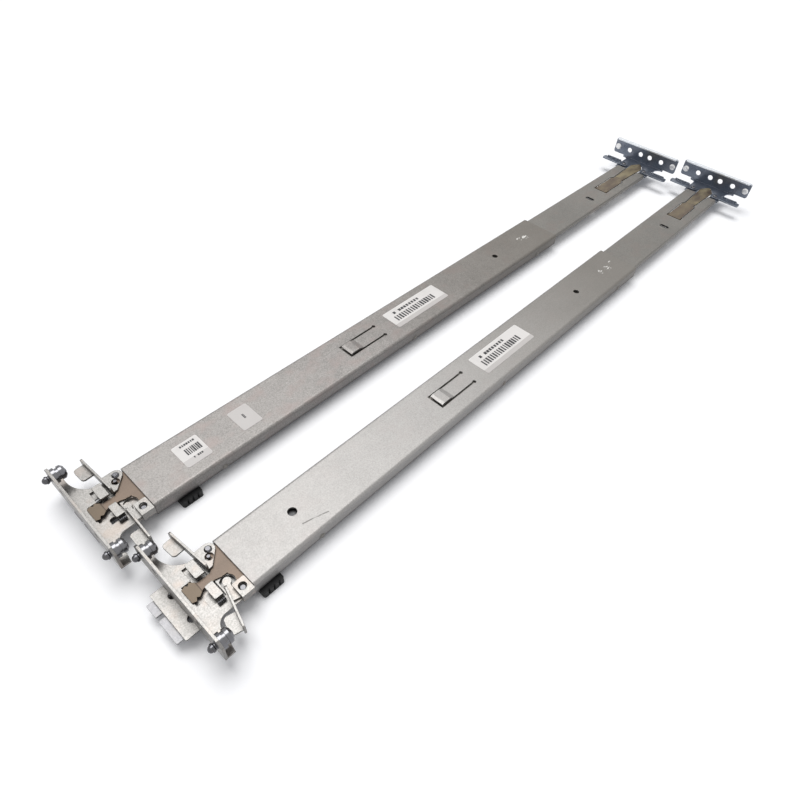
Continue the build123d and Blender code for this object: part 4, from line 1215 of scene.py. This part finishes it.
@dataclass(frozen=True)
class PrintRow:
    """One row of generic printed bars on a sticker, in the rail's millimetres.

    thinnest and shortest are the smallest bar's shares of a whole bar's width and height, gaps
    is the share of bars left out, and fill the share of the pitch that a whole bar fills.
    """

    x: float
    front: float
    back: float
    height: float
    count: int
    thinnest: float
    gaps: float
    seed: int
    ink: str = "label_ink"
    fill: float = 0.85
    shortest: float = 0.92

    def build(self, name: str, place: RailPlace, tree: BarTree, inks: dict[str, bpy.types.Material]) -> None:
        """Lays the row on its sticker.

        Args:
            name: The row's name.
            place: The rail that it is on.
            tree: The tree that makes the bars.
            inks: The finishes by name.
        """
        pitch = (self.back - self.front) / self.count
        row = tree.lay(name, {
            "Start": place.point(self.x, self.front + pitch / 2, LABEL_TOP),
            "Step": Vector((0.0, pitch * MM, 0.0)),
            "Count": self.count,
            "Bar": Vector((self.height, pitch * self.fill, INK_THICKNESS)) * MM,
            "Thinnest": Vector((self.shortest, self.thinnest, 1.0)),
            "Gaps": self.gaps,
            "Seed": self.seed,
            "Ink": inks[self.ink],
        })
        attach(row, "outer_rails")
        LOG.info("printed %s with %d faces", name, len(row.data.polygons))


@dataclass(frozen=True)
class LabelPrint:
    """Every printed row of the two rails' stickers."""

    tree: BarTree
    finishes: Finishes
    long_rows: tuple[PrintRow, ...] = (
        PrintRow(x=-0.4, front=287.5, back=338.5, height=6.8, count=17, thinnest=0.45, gaps=0.0, seed=3),
        PrintRow(x=-7.5, front=287.8, back=325.0, height=3.0, count=11, thinnest=0.7, gaps=0.12, seed=11),
    )
    front_rows: tuple[PrintRow, ...] = (
        PrintRow(x=-1.0, front=72.4, back=84.6, height=6.6, count=8, thinnest=0.5, gaps=0.05, seed=5),
        PrintRow(x=-8.0, front=71.6, back=83.8, height=2.0, count=7, thinnest=0.65, gaps=0.18, seed=8),
        PrintRow(x=6.0, front=74.4, back=82.2, height=1.8, count=5, thinnest=0.65, gaps=0.12, seed=2),
    )
    faint_rows: tuple[PrintRow, ...] = (
        PrintRow(x=-1.0, front=121.6, back=123.4, height=5.0, count=2, thinnest=0.7, gaps=0.0, seed=4),
    )

    def build(self) -> None:
        """Prints the rows on both rails."""
        for place in RAIL_PLACES:
            rows = {"long": self.long_rows}
            if place.hand is Hand.LEFT:
                rows.update(front=self.front_rows, faint=self.faint_rows)
            for sticker, lines in rows.items():
                for index, line in enumerate(lines):
                    name = f"{place.hand.value}_{sticker}_print_{index + 1}"
                    line.build(name, place, self.tree, self.finishes.made)


def main() -> None:
    """Builds the rails' looks piece by piece."""
    logging.basicConfig(level=logging.INFO, format="%(message)s")
    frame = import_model()
    bpy.context.scene.view_settings.view_transform = "Standard"
    PhotoCamera().build()
    Studio().build()
    finishes = Finishes()
    finishes.build()
    for hand in Hand:
        RailParts(hand, finishes).build(frame["nodes"])
    LabelPrint(BarTree(), finishes).build()


if __name__ == "__main__":
    main()
